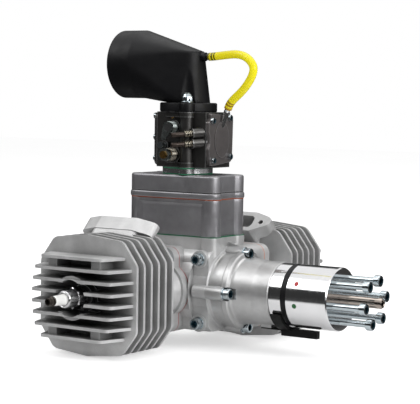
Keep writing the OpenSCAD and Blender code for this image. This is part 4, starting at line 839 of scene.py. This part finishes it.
class ENGINE_OT_tower(bpy.types.Operator):
    """Intake tower: box, reed plate and cap with a round column about each long screw"""
    bl_idname = "engine.tower"
    bl_label = "Intake tower"

    def execute(self, context):
        box, top = (3.0, 2.2), (3.0, 0.6)
        rows = [(41.2, *box, -0.1), (41.4, *box), (63.6, *box), (64.6, 3.0, 2.0), (65.6, 3.0, 1.3),
                (66.4, *top), (68.9, *top), (69.3, *top, -0.1), (69.5, *top, -0.3)]
        self.slab("tower_box", rows, [room_ring(69.5), room_ring(41.2)], "tower", "grey_cast",
                  "intake_box")
        rows = [(69.5, 2.9, 0.3, 0.15), (70.1, 2.9, 0.3, 0.15)]
        self.slab("lower_reed_gasket", rows, [room_ring(70.1), room_ring(69.5)], "orange",
                  "red_paper", "reed_plate_gaskets")
        rows = [(70.1, 3, 0, 0.1), (70.5, 3, 0, 0.5), (71.0, 3, 0, 0.7), (73.6, 3, 0, 0.7),
                (74.1, 3, 0, 0.5), (74.5, 3, 0, 0.1)]
        self.slab("tower_reed_plate", rows, [room_ring(74.5), room_ring(70.1)], "plate",
                  "dark_cast", "reed_plate")
        rows = [(74.5, 2.8, 0, -0.1), (75.1, 2.8, 0, -0.1)]
        self.slab("upper_reed_gasket", rows, [room_ring(75.1), room_ring(74.5)], "orange",
                  "red_paper", "reed_plate_gaskets")
        rows = [(75.1, 2.8, 0, -0.2), (75.3, 2.8, 0), (86.3, 2.8, 0), (87.0, 2.8, 0, -0.15),
                (87.6, 2.8, 0, -0.55), (87.95, 2.8, 0, -1.0), (88.1, 2.8, 0, -1.7)]
        bore_r = 13.0
        inner = [level_ring(bore_r, 88.1), level_ring(bore_r, 81.1), room_ring(81.1),
                 room_ring(75.1)]
        self.slab("tower_cap", rows, inner, "tower", "dark_cast", "intake_cap")
        return {"FINISHED"}

    def slab(self, name, rows, inner, shade, slot, *nodes):
        """One level ring of the tower, from its outline rows and the rows of its inner wall."""
        grid = np.stack([tower_ring(*row) for row in rows] + inner)
        piece = surface(name, grid * MM, around=True, along=True, materials=(FINISH[shade],),
                        sharp=32)
        mark(piece, "engine", slot, *nodes)


class ENGINE_OT_hub_bolts(bpy.types.Operator):
    """Six propeller bolts, the centre stud and the two timing dots"""
    bl_idname = "engine.hub_bolts"
    bl_label = "Propeller bolts"

    def execute(self, context):
        circle_r, first_turn = 16.5, -19.4
        angle = np.radians(np.arange(6) * 60 + first_turn)
        places = xyz(HUB_FACE_X, -circle_r * np.sin(angle), circle_r * np.cos(angle))
        screws("propeller_bolts", "crank", places, (1, 0, 0), cap_screw(39.6), "prop_bolts")
        rows = [(-20, 2.2), (-19.4, 3.5), (-0.2, 3.5), (0.1, 4.0), (33.2, 4.0), (34.4, 3.1),
                (34.4, 2.6), (34.0, 2.1), (22.6, 2.1), (22.4, 1.2)]
        lathe("centre_stud", "crank", "bronze_steel", (0, 0, 0), (1, 0, 0), rows, "brown",
              "prop_stud")
        # Dots: small domed discs laid on the hub's round, t = t0 + s / R at s along the round
        radius = np.array([0.02, 0.9, 1.5, 1.8, 1.85])[:, None]
        shell = HUB_R + np.array([0.10, 0.10, 0.09, 0.06, 0.01])[:, None]
        turn = np.linspace(0, TAU, 32, endpoint=False)[None]
        for name, x, high in (("red_dot", -26.8, 28.9), ("green_dot", -27.1, -11.7)):
            t = math.radians(high) + radius * np.sin(turn) / HUB_R
            grid = xyz(x + radius * np.cos(turn), -shell * np.cos(t), shell * np.sin(t))
            piece = surface(name, grid[::-1] * MM, around=True, caps=(False, True),
                            materials=(FINISH[name],))
            mark(piece, "crank", "machined")
        return {"FINISHED"}


class ENGINE_OT_screws(bpy.types.Operator):
    """Housing bolts, side screws, tower screws and the carburettor's screws"""
    bl_idname = "engine.screws"
    bl_label = "Screws"

    def execute(self, context):
        washer = [(0, 2.7), (0, 4.8), (0.15, 4.9), (0.85, 4.9), (1, 4.8), (1, 2.7)]
        angle, circle_r = np.radians([90, 180, 270]), 28.5
        places = xyz(HOUSING_FACE_X, circle_r * np.cos(angle), circle_r * np.sin(angle))
        lathe("housing_washers", "engine", "zinc_screw", places, (1, 0, 0), washer, "zinc",
              "housing_bolts", closed=True)
        screws("housing_screws", "engine", places + [1, 0, 0], (1, 0, 0), cap_screw(26.8),
               "housing_bolts")
        s, t = np.meshgrid([-1, 1], [-1, 1])
        s, t = s.ravel(), t.ravel()
        places, axes = xyz(CARB_X + s * 31.5, -s * 28.6, t * 24.6), xyz(0, -s, 0)
        lathe("side_washers", "engine", "zinc_screw", places, axes, washer, "zinc",
              "case_screws", closed=True)
        screws("side_screws", "engine", places + axes, axes, cap_screw(12), "case_screws")
        places = xyz(CARB_X + s * 34.7, t * 17.2, 82.7)
        screws("tower_screws", "engine", places, (0, 0, 1), cap_screw(54.1), "tower_bolts")

        small = cap_screw(2.4, 1.2, 2.5, 2.1, 0.95, 1.2)
        pump_face, cover_face = -160.42, -109.0
        places = [(pump_face, y, z) for z in (100.2, 116.6, 133.2) for y in (-13.6, 13.6)]
        screws("pump_screws", "engine", places, (-1, 0, 0), small)
        places = [(cover_face, y, z) for y, z in ((-12.7, 130.2), (11.4, 132.4), (-11.4, 99.6),
                                                  (12.2, 102.2))]
        screws("cover_screws", "engine", places, (1, 0, 0), small)
        rows = [(-0.4, 1.2), (-0.4, 1.9), (0.5, 1.9), (0.9, 1.75), (1.2, 1.3), (1.3, 0.6)]
        lathe("fuel_gallery_plug", "engine", "brass", (-142.9, -17.0, 133.2), (0, -1, 0), rows,
              "brass", sides=32)
        return {"FINISHED"}


class ENGINE_OT_studs(bpy.types.Operator):
    """Studs of the carburettor with their lock nuts and washers"""
    bl_idname = "engine.studs"
    bl_label = "Studs and nuts"

    def execute(self, context):
        places = [(CARB_X + s * STUD_AT[0], s * STUD_AT[1], FOOT_TOP) for s in (-1, 1)]
        rows = [(0, 2.6), (0, 4.75), (0.2, 4.9), (0.8, 4.9), (1.0, 4.75), (1.0, 2.6)]
        lathe("stud_washers", "engine", "zinc_screw", places, (0, 0, 1), rows, "zinc",
              "carb_studs", closed=True)
        rows = [(1.02, 2.7), (1.02, 3.7), (1.2, 3.95), (1.35, 3.98, 6), (4.5, 3.98, 6),
                (4.75, 3.95), (5.0, 3.7), (6.1, 3.5), (6.6, 3.15), (6.7, 2.7), (6.2, 2.5),
                (1.4, 2.5)]
        lathe("stud_nuts", "engine", "zinc_screw", places, (0, 0, 1), rows, "zinc",
              "carb_studs", closed=True)
        # Stud with its thread above the nut: r = 2.34 + 0.1 cos(2 pi h / pitch - a)
        pitch = 0.8
        height = np.concatenate([[-61.8, -61.2], np.linspace(-50, 0, 6), np.linspace(5.5, 7.6, 22)])
        angle = np.linspace(0, TAU, 32, endpoint=False)[None]
        h = height[:, None]
        r = np.where(h > 5, 2.34 + 0.1 * np.cos(TAU * h / pitch - angle), 2.45)
        r = r * np.where(h < -61.5, 0.75, 1.0) * np.where(h > 7.5, 0.8, 1.0)
        grid = xyz(r * np.cos(angle), r * np.sin(angle), h)
        piece = surface("stud_rods", stood(grid, places, (0, 0, 1)), around=True, caps=(True, True),
                        materials=(FINISH["lever"],))
        mark(piece, "engine", "zinc_screw", "carb_studs")
        return {"FINISHED"}


class ENGINE_OT_plugs(bpy.types.Operator):
    """Spark plugs: shell with hexagon and crimped rim, glazed insulator, terminal"""
    bl_idname = "engine.plugs"
    bl_label = "Spark plugs"

    def execute(self, context):
        places = [(NEAR_X, -PLUG_SEAT, 0), (FAR_X, PLUG_SEAT, 0)]
        axes = [(0, -1, 0), (0, 1, 0)]
        shell = [(-9.9, 3.2), (-9.9, 4.6), (-9.4, 5.0), (-0.1, 5.0), (0, 6.6), (0.3, 6.8),
                 (1.7, 6.8), (2.0, 6.3), (2.1, 6.9), (2.6, 7.0, 6), (12.0, 7.0, 6), (12.4, 6.85),
                 (12.8, 6.6), (21.6, 6.6), (22.6, 6.2), (23.2, 5.4), (22.8, 4.6), (6.0, 4.4),
                 (-4.0, 3.2)]
        lathe("plug_bodies", "engine", "steel", places, axes, shell, "steel",
              "plug_shells", closed=True)
        glazed = [(6.1, 2.0), (6.1, 4.3), (23.0, 4.3), (23.6, 4.1), (24.2, 3.9), (30.0, 3.8),
                  (32.0, 3.75), (33.4, 3.6), (34.2, 3.3), (34.45, 2.9), (34.45, 1.5)]
        lathe("plug_insulator_bodies", "engine", "insulator", places, axes, glazed,
              "glaze", "plug_insulators")
        cap = [(34.5, 1.6), (34.5, 3.2), (34.9, 3.6), (36.6, 3.6), (36.9, 3.1), (37.6, 2.85),
               (40.1, 2.85), (40.5, 2.5), (40.5, 1.7), (37.5, 1.6), (37.3, 0.8)]
        lathe("plug_terminal_nuts", "engine", "steel", places, axes, cap, "terminal",
              "plug_terminals")
        return {"FINISHED"}


class ENGINE_OT_springs(bpy.types.Operator):
    """Coil springs of the needles, the throttle and the choke, and the needles' heads"""
    bl_idname = "engine.springs"
    bl_label = "Springs and needles"

    def execute(self, context):
        dip, turn = math.radians(5), math.radians(37)
        out = np.array([-math.sin(turn) * math.cos(dip), -math.cos(turn) * math.cos(dip),
                        -math.sin(dip)])
        # Name, foot, axis, turns, coil's radius, length, wire's radius, start above foot, finish
        coils = [(f"{key}_needle_spring", (*NEEDLE_ROOT, z), out, 6.5, 2.25, 8.6, 0.36, 0.2,
                  "spring") for key, z in NEEDLES.items()]
        coils += [("throttle_spring", (CARB_X, -20.5, THROTTLE_Z), (0, -1, 0), 7.0, 4.6, 7.6, 0.45,
                   0.3, "dark_spring"),
                  ("choke_spring", (CARB_X, -19.5, CHOKE_Z), (0, -1, 0), 4.5, 4.3, 6.6, 0.5, 0.3,
                   "lever")]
        for name, place, axis, turns, radius, length, wire, start, shade in coils:
            path = helix(turns, radius, length / turns) + [0, 0, start + wire]
            grid = stood(tube(path, wire, 9, fixed=(0, 0, 1)), place, axis)
            piece = surface(name, grid, around=True, caps=(True, True), materials=(FINISH[shade],))
            mark(piece, "engine", "steel", "carb_springs")
        for key, z in NEEDLES.items():
            rows = [(-8, 0.3), (-4, 1.5), (9.4, 1.5), (9.5, 1.9), (9.8, 2.0), (19.2, 2.0),
                    (19.8, 1.75), (20.0, 1.3), (20.0, 0.9), (19.2, 0.7), (19.1, 0.3)]
            lathe(f"{key}_needle_rod", f"{key}_needle", "brass", (*NEEDLE_ROOT, z), out, rows,
                  "needle", f"{key}_needle", sides=32)
        return {"FINISHED"}


OPERATORS = (ENGINE_OT_studio, ENGINE_OT_finishes, ENGINE_OT_vent_tube, ENGINE_OT_tower,
             ENGINE_OT_horn, ENGINE_OT_hub_bolts, ENGINE_OT_screws, ENGINE_OT_studs, ENGINE_OT_plugs,
             ENGINE_OT_springs)


class ENGINE_PT_panel(bpy.types.Panel):
    """The engine's finishes and small parts"""
    bl_idname = "ENGINE_PT_panel"
    bl_label = "Engine"
    bl_space_type = "VIEW_3D"
    bl_region_type = "UI"
    bl_category = "Engine"

    def draw(self, context):
        for settings in (context.scene.engine_studio, context.scene.engine_finish):
            box = self.layout.box()
            for name in settings.__annotations__:
                box.prop(settings, name)
        for operator in OPERATORS:
            self.layout.operator(operator.bl_idname)


CLASSES = (StudioSettings, FinishSettings, *OPERATORS, ENGINE_PT_panel)


def register():
    for kind in CLASSES:
        bpy.utils.register_class(kind)
    bpy.types.Scene.engine_studio = bpy.props.PointerProperty(type=StudioSettings)
    bpy.types.Scene.engine_finish = bpy.props.PointerProperty(type=FinishSettings)


def unregister():
    del bpy.types.Scene.engine_finish
    del bpy.types.Scene.engine_studio
    for kind in reversed(CLASSES):
        bpy.utils.unregister_class(kind)


def main():
    register()
    bpy.ops.engine.studio()
    bpy.ops.engine.finishes()
    bpy.ops.engine.vent_tube()
    bpy.ops.engine.tower()
    bpy.ops.engine.horn()
    bpy.ops.engine.hub_bolts()
    bpy.ops.engine.screws()
    bpy.ops.engine.studs()
    bpy.ops.engine.plugs()
    bpy.ops.engine.springs()


if __name__ == "__main__":
    main()
